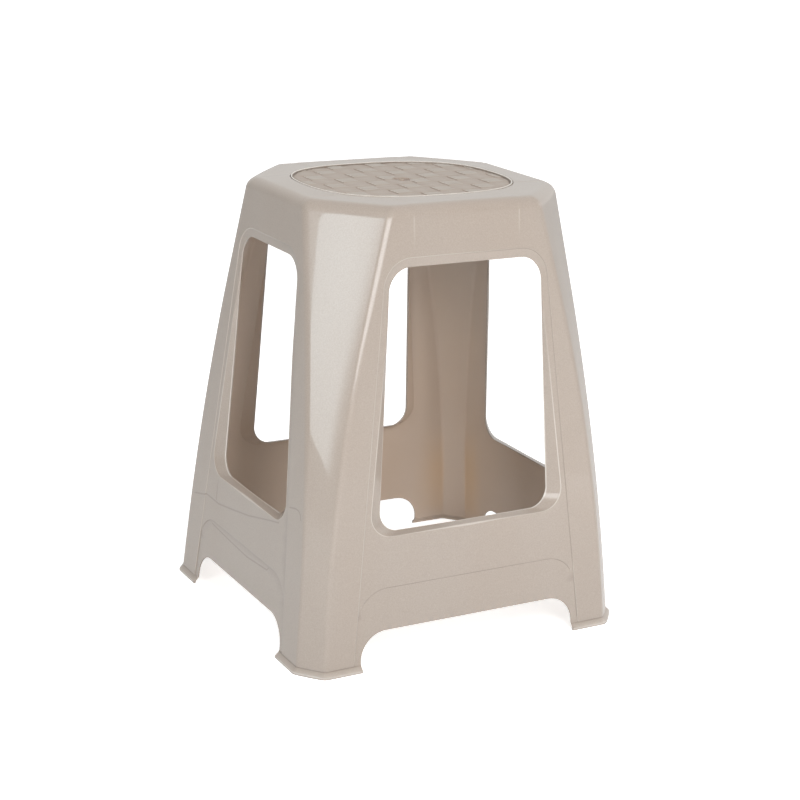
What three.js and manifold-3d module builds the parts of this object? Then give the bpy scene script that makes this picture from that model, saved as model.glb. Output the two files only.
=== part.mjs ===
// A stacking stool, in millimetres, +Z up, with its origin on the floor under the middle of the seat.
// The real stool is one moulded shell. It is built here as that shell, and then divided along fine
// seams into the regions a person would name: seat, rim, aprons, legs, rails, feet and ribs.
// Front and back are the wide sides, at -Y and +Y. Left and right are the narrow ones, at -X and +X.
import * as THREE from "three";
import { mergeVertices } from "three/addons/utils/BufferGeometryUtils.js";
import Module from "manifold-3d";

const wasm = await Module();
wasm.setup();

// Overall sizes. A side's offset is how far its face stands from the middle of the stool.
const HEIGHT = 450;
const WALL = 2.5;
const SEAM = 0.3;
const OVERRUN = 8;

// The two kinds of side. Half sizes run along the side, from its middle.
const WIDE = {
  floorOffset: 171,
  topOffset: 132.6,
  windowSillHalf: 95.6,
  windowTopHalf: 83.4,
  archHalf: 122,
  chamferFloor: 19.9,
  chamferBend: 17.6,
  chamferTop: 60,
};
const NARROW = {
  floorOffset: 181.9,
  topOffset: 141.5,
  windowSillHalf: 77.7,
  windowTopHalf: 63.6,
  archHalf: 105,
  chamferFloor: 23.8,
  chamferBend: 21.5,
  chamferTop: 66,
};

// Corner chamfers: narrow up to the bend, then spreading to the seat.
const CHAMFER_BEND_HEIGHT = 180;
const CHAMFER_BEND_BLEND = 60;
const CREASE_RADIUS_FLOOR = 7;
const CREASE_RADIUS_TOP = 13;

// Windows. The apron is what stays above them. The opening's edge lies behind the face of the side,
// most of all at the sill, and the reveal between the two ends a drop below the window's top.
const WINDOW_SILL_HEIGHT = 133.7;
const APRON_HEIGHT = 58.8;
const WINDOW_SILL_RADIUS = 20;
const WINDOW_TOP_RADIUS = 24;
const REVEAL_DEPTH_SILL = 9;
const REVEAL_DEPTH_TOP = 2;
const REVEAL_WIDTH_SILL = 15.5;
const REVEAL_WIDTH_TOP = 0.8;
const REVEAL_END_DROP = 48.2;
const SILL_RISE = 2.3;
// A fillet takes at most this share of the shorter edge's half.
const FILLET_ROOM_SHARE = 0.98;

// Arches between the feet.
const ARCH_HEIGHT = 37.4;
const ARCH_RADIUS = 28;

// The feet end in a lip that flares outwards.
const LIP_HEIGHT = 5.7;
const LIP_EDGE = 2.2;
const LIP_OUT = 3.5;
const FOOT_HEIGHT = 12;

// The seat: a rounded outer edge, and an inlay inside a fine bead. Its outline is a superellipse.
const SEAT_EDGE_RADIUS = 8;
const RIM_DEPTH = 9.5;
const INLAY_HALF_X = 109.2;
const INLAY_HALF_Y = 96.3;
const INLAY_POWER = 2.61;
const INLAY_RECESS = 0.5;
const BEAD_WIDTH = 2.6;
const BEAD_HEIGHT = 0.7;
const BEAD_FLANK_SHARE = 0.25;

// The gate mark in the middle of the inlay: a shallow dimple round a short trimmed nub.
const GATE_RADIUS = 9;
const GATE_DEPTH = 0.6;
const GATE_NUB_RADIUS = 3.6;
const GATE_NUB_HEIGHT = 1.1;

// Ribs under the seat: a hoop, and inside it a middle rib from left to right with pairs beside it.
const RIB_THICKNESS = 2;
const RIB_DEPTH = 12;
const RIB_PITCH = 30;
const RIB_PAIRS = 2;
const HOOP_INSET = 7;

// How finely curves are cut.
const CREASE_STEPS = 3;
const CORNER_STEPS = 6;
const EDGE_STEPS = 5;
const BEND_STEPS = 4;
const OUTLINE_STEPS = 56;
const GATE_STEPS = 16;

const PLASTIC = { color: 0xb9aca1, roughness: 0.3, metalness: 0 };
const WOVEN_PLASTIC = { color: 0xae9f93, roughness: 0.5, metalness: 0 };

const RIM_TOP = HEIGHT - BEAD_HEIGHT;
const RIM_SEAM = RIM_TOP - RIM_DEPTH;
const INLAY_TOP = RIM_TOP - INLAY_RECESS;
const RIB_TOP = INLAY_TOP - WALL - SEAM;
const RIB_BOTTOM = RIB_TOP - RIB_DEPTH;
const WINDOW_TOP_HEIGHT = HEIGHT - APRON_HEIGHT;
const REVEAL_END_HEIGHT = WINDOW_TOP_HEIGHT - REVEAL_END_DROP;
// Rings of points above the feet's seam and below the rim's keep both clear of long thin triangles.
const FOOT_RING_HEIGHT = FOOT_HEIGHT * 2;
const RIM_RING_HEIGHT = RIM_SEAM - SEAT_EDGE_RADIUS / 2;
// How far in behind a face the deepest part of a side lies.
const REVEAL_REACH = WALL + REVEAL_DEPTH_SILL + OVERRUN;
// Where a rounded right corner crosses its bisector, as a share of its radius along each edge.
const BISECTOR_SHARE = 1 - Math.SQRT1_2;
const SIDES = [
  { name: "front", kind: WIDE, next: NARROW, quarter: 0 },
  { name: "right", kind: NARROW, next: WIDE, quarter: 1 },
  { name: "back", kind: WIDE, next: NARROW, quarter: 2 },
  { name: "left", kind: NARROW, next: WIDE, quarter: 3 },
];
const LEGS = [
  { name: "front_left", x: -1, y: -1 },
  { name: "front_right", x: 1, y: -1 },
  { name: "back_right", x: 1, y: 1 },
  { name: "back_left", x: -1, y: 1 },
];

// Small helpers

function between(start, end, share) {
  return start + (end - start) * share;
}

function steps(count) {
  return Array.from({ length: count + 1 }, (_, i) => i / count);
}

// How far a kind of side stands from the middle at a height.
function offsetAt(kind, z) {
  return between(kind.floorOffset, kind.topOffset, z / RIM_TOP);
}

// How much of a side's width the corner chamfer takes at a height: two straight runs joined by a curve.
function chamferAt(kind, z) {
  const low = (kind.chamferBend - kind.chamferFloor) / CHAMFER_BEND_HEIGHT;
  const high = (kind.chamferTop - kind.chamferBend) / (RIM_TOP - CHAMFER_BEND_HEIGHT);
  const past = z - CHAMFER_BEND_HEIGHT;
  const reach = CHAMFER_BEND_BLEND / 2;
  let lifted = Math.max(past, 0);
  if (Math.abs(past) < reach) lifted = (past + reach) ** 2 / (2 * CHAMFER_BEND_BLEND);
  return kind.chamferBend + low * past + (high - low) * lifted;
}

// A place on a side: along it, up it, and in behind its face.
function place(side, along, z, inset = 0) {
  let x = along;
  let y = inset - offsetAt(side.kind, z);
  for (let i = 0; i < side.quarter; i++) [x, y] = [-y, x];
  return [x, y, z];
}

// Flat outlines: lists of [u, v] points, anticlockwise

// Moves every edge of a convex outline inwards.
function insetOutline(outline, inset) {
  const lines = outline.map((a, i) => {
    const b = outline[(i + 1) % outline.length];
    const length = Math.hypot(b[0] - a[0], b[1] - a[1]);
    const along = [(b[0] - a[0]) / length, (b[1] - a[1]) / length];
    return { from: [a[0] - along[1] * inset, a[1] + along[0] * inset], along };
  });
  return lines.map((line, i) => {
    const last = lines[(i + lines.length - 1) % lines.length];
    const cross = last.along[0] * line.along[1] - last.along[1] * line.along[0];
    const gap = [line.from[0] - last.from[0], line.from[1] - last.from[1]];
    const reach = (gap[0] * line.along[1] - gap[1] * line.along[0]) / cross;
    return [last.from[0] + last.along[0] * reach, last.from[1] + last.along[1] * reach];
  });
}

// Rounds every corner of an outline with its own radius, each into the same number of points.
// A corner with no radius stays one point.
function roundOutline(outline, radii, arcSteps) {
  return outline.flatMap((corner, i) => {
    if (!radii[i]) return [corner];
    const before = outline[(i + outline.length - 1) % outline.length];
    const after = outline[(i + 1) % outline.length];
    const into = [corner[0] - before[0], corner[1] - before[1]];
    const out = [after[0] - corner[0], after[1] - corner[1]];
    const start = Math.atan2(into[1], into[0]);
    const cross = into[0] * out[1] - into[1] * out[0];
    const turn = Math.atan2(cross, into[0] * out[0] + into[1] * out[1]);
    const room = Math.min(Math.hypot(...into), Math.hypot(...out)) / 2;
    const tangent = Math.min(radii[i] * Math.tan(turn / 2), room * FILLET_ROOM_SHARE);
    const radius = tangent / Math.tan(turn / 2);
    const first = [corner[0] - Math.cos(start) * tangent, corner[1] - Math.sin(start) * tangent];
    const centre = [first[0] - Math.sin(start) * radius, first[1] + Math.cos(start) * radius];
    return steps(arcSteps).map((share) => {
      const angle = start + turn * share;
      return [centre[0] + Math.sin(angle) * radius, centre[1] - Math.cos(angle) * radius];
    });
  });
}

function superellipse(halfX, halfY) {
  return steps(OUTLINE_STEPS)
    .slice(1)
    .map((share) => {
      const angle = share * Math.PI * 2;
      const u = Math.cos(angle);
      const v = Math.sin(angle);
      const bend = (value) => Math.sign(value) * Math.abs(value) ** (2 / INLAY_POWER);
      return [halfX * bend(u), halfY * bend(v)];
    });
}

// Solids

function solidOf(points, faces) {
  let volume = 0;
  for (const [a, b, c] of faces) {
    const [p, q, r] = [a, b, c].map((i) => new THREE.Vector3(...points[i]));
    volume += p.dot(q.cross(r));
  }
  const outward = volume < 0 ? faces.map(([a, b, c]) => [a, c, b]) : faces;
  const vertProperties = new Float32Array(points.flat());
  const triVerts = new Uint32Array(outward.flat());
  return new wasm.Manifold(new wasm.Mesh({ numProp: 3, vertProperties, triVerts }));
}

// Joins loops of equally many points with skin. Open ends are capped, and a closed run has none.
function loft(loops, closed = false) {
  const count = loops[0].length;
  const points = loops.flat();
  const faces = [];
  const spans = closed ? loops.length : loops.length - 1;
  for (let i = 0; i < spans; i++) {
    const low = i * count;
    const high = ((i + 1) % loops.length) * count;
    for (let j = 0; j < count; j++) {
      const k = (j + 1) % count;
      faces.push([low + j, low + k, high + k], [low + j, high + k, high + j]);
    }
  }
  if (!closed) {
    const last = points.length - count;
    for (let j = 1; j < count - 1; j++) {
      faces.push([0, j + 1, j], [last, last + j, last + j + 1]);
    }
  }
  return solidOf(points, faces);
}

function level(outline, z) {
  return outline.map(([x, y]) => [x, y, z]);
}

function solidOfGeometry(geometry) {
  const bare = geometry.clone().deleteAttribute("normal").deleteAttribute("uv");
  const merged = mergeVertices(bare);
  const vertProperties = new Float32Array(merged.getAttribute("position").array);
  const triVerts = new Uint32Array(merged.index.array);
  return new wasm.Manifold(new wasm.Mesh({ numProp: 3, vertProperties, triVerts }));
}

// A box from one height to another that reaches past the whole stool sideways.
function slab(bottom, top) {
  const reachX = (NARROW.floorOffset + LIP_OUT + OVERRUN) * 2;
  const reachY = (WIDE.floorOffset + LIP_OUT + OVERRUN) * 2;
  const box = new THREE.BoxGeometry(reachX, reachY, top - bottom);
  return solidOfGeometry(box.translate(0, 0, (top + bottom) / 2));
}

// A flat outline on a side, in points along and up it, swept from one depth to another.
function sweepThroughSide(side, outline, from, to) {
  return loft([from, to].map((inset) => outline.map(([s, z]) => place(side, s, z, inset))));
}

// The shell

// The stool's plan at a height: an octagon with rounded creases, moved inwards by the inset.
function planAt(z, inset) {
  const corners = SIDES.flatMap((side) => {
    const half = offsetAt(side.next, z) - chamferAt(side.kind, z);
    return [-half, half].map((along) => place(side, along, z).slice(0, 2));
  });
  const radius = between(CREASE_RADIUS_FLOOR, CREASE_RADIUS_TOP, z / RIM_TOP) - Math.max(inset, 0);
  const outline = insetOutline(corners, inset);
  return level(roundOutline(outline, outline.map(() => radius), CREASE_STEPS), z);
}

// The rings of one skin, from below the floor or from it up to the flat of the seat.
function skin(inset, bottomRings) {
  const radius = SEAT_EDGE_RADIUS - inset;
  const top = RIM_TOP - inset;
  const bend = steps(BEND_STEPS).map((share) => {
    const z = CHAMFER_BEND_HEIGHT + CHAMFER_BEND_BLEND * (share - 1 / 2);
    return planAt(z, inset);
  });
  const edge = steps(EDGE_STEPS).map((share) => {
    const angle = (share * Math.PI) / 2;
    const z = top - radius * (1 - Math.sin(angle));
    return planAt(z, inset + radius * (1 - Math.cos(angle)));
  });
  return loft([...bottomRings, ...bend, planAt(RIM_RING_HEIGHT, inset), ...edge]);
}

function makeBareShell() {
  const outer = skin(0, [
    planAt(0, -LIP_OUT),
    planAt(LIP_EDGE, -LIP_OUT),
    planAt(LIP_HEIGHT, 0),
    planAt(FOOT_RING_HEIGHT, 0),
  ]);
  const spread = LIP_OUT / (LIP_HEIGHT - LIP_EDGE);
  const inner = skin(WALL, [
    planAt(-OVERRUN, WALL - LIP_OUT),
    planAt(LIP_EDGE, WALL - LIP_OUT),
    planAt(LIP_HEIGHT + WALL / (1 + spread), WALL),
    planAt(FOOT_RING_HEIGHT, WALL),
  ]);
  return outer.subtract(inner);
}

// The opening's half width at a height, and how deep its edge lies there.
function windowHalfAt(kind, z) {
  const share = (z - WINDOW_SILL_HEIGHT) / (WINDOW_TOP_HEIGHT - WINDOW_SILL_HEIGHT);
  return between(kind.windowSillHalf, kind.windowTopHalf, share);
}

function revealDepthAt(z) {
  const share = (z - WINDOW_SILL_HEIGHT) / (WINDOW_TOP_HEIGHT - WINDOW_SILL_HEIGHT);
  return between(REVEAL_DEPTH_SILL, REVEAL_DEPTH_TOP, share);
}

// The window's outline, wider by the given amounts at the sill and from the reveal's end upwards.
function windowOutline(kind, sillSpread, topSpread, sillDrop) {
  const sill = [kind.windowSillHalf + sillSpread, WINDOW_SILL_HEIGHT - sillDrop];
  const end = [windowHalfAt(kind, REVEAL_END_HEIGHT) + topSpread, REVEAL_END_HEIGHT];
  const top = [kind.windowTopHalf + topSpread, WINDOW_TOP_HEIGHT + topSpread];
  const right = [sill, end, top];
  const left = right.map(([s, z]) => [-s, z]).reverse();
  const radii = [WINDOW_SILL_RADIUS + sillDrop, 0, WINDOW_TOP_RADIUS + topSpread];
  return roundOutline([...right, ...left], [...radii, ...[...radii].reverse()], CORNER_STEPS);
}

// The flange round a window, which runs from the face of the side in to the opening's edge. It comes
// as a block that is too thick in front, and the dished void that is cut out of block and wall.
function makeReveal(side) {
  const faceLine = windowOutline(side.kind, REVEAL_WIDTH_SILL, REVEAL_WIDTH_TOP, SILL_RISE);
  const edgeLine = windowOutline(side.kind, 0, 0, 0);
  const block = [[], [], [], []];
  const hollow = [[], [], []];
  faceLine.forEach((face, i) => {
    const edge = edgeLine[i];
    const depth = revealDepthAt(edge[1]);
    const away = [face[0] - edge[0], face[1] - edge[1]];
    const width = Math.hypot(...away);
    const slope = Math.hypot(width, depth);
    // A point this far outside the opening's edge, towards the face line, and this deep.
    const at = (out, inset) => {
      return place(side, edge[0] + (away[0] / width) * out, edge[1] + (away[1] / width) * out, inset);
    };
    const back = depth + (WALL * width) / slope;
    block[0].push(at(width + WALL, WALL / 2));
    block[1].push(at((WALL * depth) / slope, back));
    block[2].push(at(-WALL, back));
    block[3].push(at(-WALL, WALL / 2));
    hollow[0].push(at(width * (1 + OVERRUN / depth), -OVERRUN));
    hollow[1].push(at(0, depth));
    hollow[2].push(at(0, back + OVERRUN));
  });
  return { block: loft(block, true), hollow: loft(hollow) };
}

function makeArchCut(side) {
  const half = side.kind.archHalf;
  const corners = [
    [-half, -OVERRUN],
    [half, -OVERRUN],
    [half, ARCH_HEIGHT],
    [-half, ARCH_HEIGHT],
  ];
  const outline = roundOutline(corners, [0, 0, ARCH_RADIUS, ARCH_RADIUS], CORNER_STEPS);
  return sweepThroughSide(side, outline, -OVERRUN - LIP_OUT, WALL + OVERRUN);
}

function makeShell() {
  let shell = makeBareShell();
  for (const side of SIDES) {
    const { block, hollow } = makeReveal(side);
    shell = shell.add(block).subtract(hollow).subtract(makeArchCut(side));
  }
  return shell;
}

// Dividing the shell

// The part of a side between the sill and the arch. Growth widens it, to clear a seam.
function railRegion(side, growth) {
  const half = side.kind.archHalf - ARCH_RADIUS * BISECTOR_SHARE + growth;
  const inner = side.kind.windowSillHalf - WINDOW_SILL_RADIUS + growth;
  const sill = WINDOW_SILL_HEIGHT - SILL_RISE;
  const corners = [
    [half, -OVERRUN],
    [half, sill],
    [inner, sill + half - inner + growth],
  ];
  const mirrored = corners.map(([s, z]) => [-s, z]).reverse();
  return sweepThroughSide(side, [...corners, ...mirrored], -OVERRUN, REVEAL_REACH);
}

// The part of a side between the window and the seat's rim.
function apronRegion(side, growth) {
  const top = RIM_TOP;
  const half = side.kind.windowTopHalf + REVEAL_WIDTH_TOP + growth;
  const head = WINDOW_TOP_HEIGHT + REVEAL_WIDTH_TOP;
  const inner = side.kind.windowTopHalf - WINDOW_TOP_RADIUS + growth;
  const corners = [
    [inner, head - (half - inner) - growth],
    [half, head],
    [half, top],
  ];
  const mirrored = corners.map(([s, z]) => [-s, z]).reverse();
  return sweepThroughSide(side, [...corners, ...mirrored], -OVERRUN, REVEAL_REACH);
}

function largestPart(solid) {
  return solid.decompose().sort((a, b) => b.volume() - a.volume())[0];
}

// A block over the quarter of the plan that holds one corner.
function quarter(leg, bottom, top) {
  const reachX = NARROW.floorOffset + LIP_OUT + OVERRUN;
  const reachY = WIDE.floorOffset + LIP_OUT + OVERRUN;
  const box = new THREE.BoxGeometry(reachX, reachY, top - bottom);
  box.translate((leg.x * reachX) / 2, (leg.y * reachY) / 2, (top + bottom) / 2);
  return solidOfGeometry(box);
}

function divideShell() {
  const half = SEAM / 2;
  const shell = makeShell();
  const sides = shell.intersect(slab(FOOT_HEIGHT + half, RIM_SEAM - half));
  const feet = shell.intersect(slab(-OVERRUN, FOOT_HEIGHT - half));
  const regions = SIDES.flatMap((side) => [railRegion(side, half), apronRegion(side, half)]);
  const columns = regions.reduce((rest, region) => rest.subtract(region), sides);
  const pieces = {};
  for (const side of SIDES) {
    pieces["lower_rail_" + side.name] = sides.intersect(railRegion(side, -half));
    pieces["apron_" + side.name] = sides.intersect(apronRegion(side, -half));
  }
  for (const leg of LEGS) {
    pieces["leg_" + leg.name] = largestPart(columns.intersect(quarter(leg, 0, RIM_TOP)));
    pieces["foot_" + leg.name] = largestPart(feet.intersect(quarter(leg, -OVERRUN, RIM_TOP)));
  }
  const hole = superellipse(INLAY_HALF_X + SEAM, INLAY_HALF_Y + SEAM);
  const holeCut = loft([level(hole, RIM_SEAM - OVERRUN), level(hole, RIM_TOP + OVERRUN)]);
  pieces.seat_rim = shell.intersect(slab(RIM_SEAM + half, HEIGHT)).subtract(holeCut);
  return pieces;
}

// The seat

function disc(radius, bottom, top) {
  const cylinder = new THREE.CylinderGeometry(radius, radius, top - bottom, GATE_STEPS);
  return solidOfGeometry(cylinder.rotateX(Math.PI / 2).translate(0, 0, (top + bottom) / 2));
}

function makeSeatPanel() {
  const ring = (inset, z) => level(superellipse(INLAY_HALF_X - inset, INLAY_HALF_Y - inset), z);
  const flank = BEAD_WIDTH * BEAD_FLANK_SHARE;
  const plate = loft([
    ring(0, INLAY_TOP - WALL),
    ring(0, RIM_TOP),
    ring(flank, HEIGHT),
    ring(BEAD_WIDTH - flank, HEIGHT),
    ring(BEAD_WIDTH, INLAY_TOP),
  ]);
  const floor = INLAY_TOP - GATE_DEPTH;
  const dimple = disc(GATE_RADIUS, floor, INLAY_TOP + OVERRUN);
  const nub = disc(GATE_NUB_RADIUS, floor - WALL / 2, floor + GATE_NUB_HEIGHT);
  return plate.subtract(dimple).add(nub);
}

// The hoop and the ribs are made too tall, and then cut level at both ends.
function makeUnderSeatRibs() {
  const tube = (inset, extra) => {
    const outline = superellipse(INLAY_HALF_X - inset, INLAY_HALF_Y - inset);
    return loft([level(outline, RIB_BOTTOM - extra), level(outline, RIB_TOP + extra)]);
  };
  const levelled = slab(RIB_BOTTOM, RIB_TOP);
  const hoop = tube(HOOP_INSET, OVERRUN).subtract(tube(HOOP_INSET + RIB_THICKNESS, OVERRUN * 2));
  const inside = tube(HOOP_INSET + RIB_THICKNESS + SEAM, OVERRUN * 2);
  const pieces = { under_seat_hoop: hoop.intersect(levelled) };
  for (let i = -RIB_PAIRS; i <= RIB_PAIRS; i++) {
    const box = new THREE.BoxGeometry(INLAY_HALF_X * 2, RIB_THICKNESS, RIB_DEPTH + OVERRUN);
    box.translate(0, i * RIB_PITCH, (RIB_TOP + RIB_BOTTOM) / 2);
    const rib = solidOfGeometry(box).intersect(inside).intersect(levelled);
    pieces["under_seat_rib_" + (i + RIB_PAIRS + 1)] = rib;
  }
  return pieces;
}

// The scene

function meshOf(name, solid, look) {
  const made = solid.getMesh();
  const geometry = new THREE.BufferGeometry();
  geometry.setAttribute("position", new THREE.BufferAttribute(made.vertProperties, made.numProp));
  geometry.setIndex(new THREE.BufferAttribute(made.triVerts, 1));
  geometry.computeVertexNormals();
  const mesh = new THREE.Mesh(geometry, new THREE.MeshStandardMaterial({ ...look, flatShading: true }));
  mesh.name = name;
  return mesh;
}

const stool = new THREE.Group();
const seat = new THREE.Group();
const walls = new THREE.Group();
for (const [name, solid] of Object.entries(divideShell())) {
  const group = name === "seat_rim" ? seat : walls;
  group.add(meshOf(name, solid, PLASTIC));
}
seat.add(meshOf("seat_panel", makeSeatPanel(), WOVEN_PLASTIC));
for (const [name, solid] of Object.entries(makeUnderSeatRibs())) {
  seat.add(meshOf(name, solid, PLASTIC));
}
stool.add(seat, walls);

export default stool;
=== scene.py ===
"""A moulded plastic stacking stool with a basket-weave seat, as a Blender add-on that is run as a script.

Lengths are metres, +Z is up, and the origin is on the floor under the middle of the seat. Front and back are
the wide sides, at -Y and +Y. Left and right are the narrow ones. A side has its own flat coordinates: s runs
along it to the right as seen from outside, z runs up, and an inset goes in behind its face.
"""

import math

import bmesh
import bpy
import numpy as np
from bpy.props import FloatProperty, FloatVectorProperty, PointerProperty
from mathutils import Matrix, Vector
from mathutils.geometry import delaunay_2d_cdt


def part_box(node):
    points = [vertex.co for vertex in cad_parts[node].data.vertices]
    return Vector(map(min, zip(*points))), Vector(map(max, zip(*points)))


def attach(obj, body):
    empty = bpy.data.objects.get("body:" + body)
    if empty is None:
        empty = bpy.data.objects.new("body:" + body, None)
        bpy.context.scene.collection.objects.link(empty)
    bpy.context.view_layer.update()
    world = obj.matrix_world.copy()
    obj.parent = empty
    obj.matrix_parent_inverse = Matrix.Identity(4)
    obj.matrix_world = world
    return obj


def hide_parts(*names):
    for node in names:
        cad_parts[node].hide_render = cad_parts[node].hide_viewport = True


bl_info = {
    "name": "Moulded Stacking Stool",
    "version": (1, 0, 0),
    "blender": (4, 5, 0),
    "location": "View3D > Sidebar > Stool",
    "description": "Builds a moulded stacking stool with a woven seat, and a studio round it",
    "category": "Add Mesh",
}

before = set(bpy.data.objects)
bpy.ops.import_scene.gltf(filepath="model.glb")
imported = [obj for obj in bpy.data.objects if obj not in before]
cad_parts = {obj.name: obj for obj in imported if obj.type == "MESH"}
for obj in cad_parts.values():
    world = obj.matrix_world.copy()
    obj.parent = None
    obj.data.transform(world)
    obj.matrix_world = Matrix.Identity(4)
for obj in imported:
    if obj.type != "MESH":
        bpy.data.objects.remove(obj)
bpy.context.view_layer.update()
SEAT_LOW, SEAT_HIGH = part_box("seat_panel")
RIM_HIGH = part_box("seat_rim")[1]
HOOP_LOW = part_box("under_seat_hoop")[0]

BODY = "root"
SIDE_NAMES = ("front", "right", "back", "left")
LEG_NAMES = ("front_left", "front_right", "back_right", "back_left")
RIB_COUNT = 5

# The shell's two finishes, by their place among its materials
OUTER, INNER = 0, 1

# Marks where the plastic met in the mould, by side: points of s and z in millimetres
FLOW_MARKS = {
    "left": (
        (
            (-128, 95.5), (-105, 101), (-100, 103), (-67, 102.5),
            (-37, 107), (8, 114.5), (55, 125.5), (78, 130.5),
        ),
        ((-80, 76.5), (-34, 73.5), (12, 71.5), (61, 75)),
        ((-74, 120), (-74, 105)),
        ((101, 154), (112, 156.5), (120, 156.5), (124, 154), (126, 149)),
    ),
    "right": (((-110, 96), (-60, 101), (0, 109), (55, 112), (118, 121)),),
}
SHELL_NODES = (
    ["seat_rim"]
    + [f"{part}_{side}" for part in ("apron", "lower_rail") for side in SIDE_NAMES]
    + [f"{part}_{leg}" for part in ("leg", "foot") for leg in LEG_NAMES]
)
RIB_NODES = ["under_seat_hoop"] + [f"under_seat_rib_{i + 1}" for i in range(RIB_COUNT)]


def mm(value):
    """Millimetres as metres."""
    return value / 1000


def length(name, description, default):
    return FloatProperty(
        name=name, description=description, default=default, min=0.0, unit="LENGTH", precision=5
    )


def share(name, description, default):
    return FloatProperty(
        name=name, description=description, default=default, min=0.0, max=1.0, subtype="FACTOR"
    )


def amount(name, description, default):
    return FloatProperty(name=name, description=description, default=default, min=0.0)


def bearing(name, description, default):
    return FloatProperty(name=name, description=description, default=default, subtype="ANGLE")


def colour(name, description, default):
    return FloatVectorProperty(
        name=name, description=description, default=default, size=4, min=0.0, max=1.0, subtype="COLOR"
    )


# Sizes and colours


class WideSide(bpy.types.PropertyGroup):
    """Sizes of the front and the back."""

    floor_offset: length("Offset at the floor", "From the middle to the face at z 0", mm(171))
    top_offset: length("Offset at the rim", "From the middle to the face at the rim's top", mm(132.6))
    sill_half: length("Window half width at the sill", "To the opening's edge", mm(95.6))
    head_half: length("Window half width at the head", "To the opening's edge", mm(83.4))
    arch_half: length("Arch half width", "To the edge of the foot", mm(122))
    round_floor: length("Corner radius at the floor", "Where the face meets a chamfer", mm(7))
    round_top: length("Corner radius at the rim", "Where the face meets a chamfer", mm(12))
    chamfer_floor: length("Chamfer at the floor", "What the corner takes from the side", mm(19.9))
    chamfer_bend: length("Chamfer at the bend", "What the corner takes from the side", mm(17.3))
    chamfer_top: length("Chamfer at the rim", "What the corner takes from the side", mm(60))
    step_floor: length("Leg step at the floor", "From the middle to the fine step line", mm(130.5))
    step_head: length("Leg step at the head", "From the middle to the fine step line", mm(87.7))
    # The painted shade at a fine step's foot, and the painted highlight on its edge
    line_reach: length("Line reach", "How far a fine step's dark line reaches to each side", mm(0.23))
    line_light: share("Line light", "How light the lit edges of the fine steps are", 0.6)
    crease: length("Rim crease", "From the middle to the crease across the rim", mm(58))
    crease_drop: length("Crease drop", "How far the crease runs down the apron", mm(44))


class NarrowSide(bpy.types.PropertyGroup):
    """Sizes of the left and the right."""

    floor_offset: length("Offset at the floor", "From the middle to the face at z 0", mm(181.9))
    top_offset: length("Offset at the rim", "From the middle to the face at the rim's top", mm(141.5))
    sill_half: length("Window half width at the sill", "To the opening's edge", mm(77.7))
    head_half: length("Window half width at the head", "To the opening's edge", mm(63.6))
    arch_half: length("Arch half width", "To the edge of the foot", mm(105))
    round_floor: length("Corner radius at the floor", "Where the face meets a chamfer", mm(7))
    round_top: length("Corner radius at the rim", "Where the face meets a chamfer", mm(18))
    chamfer_floor: length("Chamfer at the floor", "What the corner takes from the side", mm(23.8))
    chamfer_bend: length("Chamfer at the bend", "What the corner takes from the side", mm(21.2))
    chamfer_top: length("Chamfer at the rim", "What the corner takes from the side", mm(66))
    step_floor: length("Leg step at the floor", "From the middle to the fine step line", mm(113.3))
    step_head: length("Leg step at the head", "From the middle to the fine step line", mm(67.5))
    # The painted shade at a fine step's foot, and the painted highlight on its edge
    line_reach: length("Line reach", "How far a fine step's dark line reaches to each side", mm(0.8))
    line_light: share("Line light", "How light the lit edges of the fine steps are", 0.4)
    crease: length("Rim crease", "From the middle to the crease across the rim", mm(57.5))
    crease_drop: length("Crease drop", "How far the crease runs down the apron", mm(9))


class StoolShape(bpy.types.PropertyGroup):
    """Sizes of the moulding."""

    wide: PointerProperty(type=WideSide)
    narrow: PointerProperty(type=NarrowSide)
    rim_top: length("Rim height", "The flat of the rim above the floor", RIM_HIGH.z)
    wall: length("Wall", "Thickness of the plastic", mm(2.5))
    seat_edge_radius: length("Seat edge radius", "Round from the sides into the rim", mm(11))
    chamfer_bow: bearing("Chamfer bow", "Angle by which a chamfer bows out at each of its edges", 0.05)
    bend_height: length("Chamfer bend", "Height at which the chamfers start to spread", mm(200))
    bend_blend: length("Bend blend", "Height over which the chamfers turn", mm(300))
    cut_round: length("Cut edge round", "Radius on the edges of windows and arches", mm(0.5))
    sill_height: length("Sill height", "The opening's lower edge", mm(133.7))
    head_height: length("Head height", "The opening's upper edge", mm(391.2))
    sill_radius: length("Sill corner radius", "At the opening's lower corners", mm(20))
    head_radius: length("Head corner radius", "At the opening's upper corners", mm(24))
    reveal_depth_sill: length("Reveal depth at the sill", "From the face in to the opening", mm(9))
    reveal_depth_head: length("Reveal depth at the head", "From the face in to the opening", mm(2))
    reveal_width_sill: length("Reveal width at the sill", "Beside the opening's lower corners", mm(15.5))
    reveal_width_head: length("Reveal width at the head", "Beside the opening's upper half", mm(0.8))
    reveal_end: length("Reveal end", "Height where the reveal has narrowed", mm(343))
    reveal_round: length("Reveal round", "Radius where the face turns into the reveal", mm(2.2))
    sill_rise: length("Sill rise", "How far the sill climbs as it goes in", mm(2.3))
    arch_height: length("Arch height", "The opening between two feet", mm(37.4))
    arch_radius: length("Arch radius", "At the arch's upper corners", mm(28))
    lip_out: length("Lip reach", "How far a foot's lip flares out", mm(3.5))
    lip_height: length("Lip height", "Where the flare starts", mm(5.7))
    lip_edge: length("Lip edge", "Height of the lip's upright edge", mm(2.2))
    lip_groove: length("Lip groove", "Depth of the fine groove above the lip", mm(0.35))
    lip_soft: length("Lip round", "Size of the rounds at the lip's edges", mm(0.5))


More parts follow.
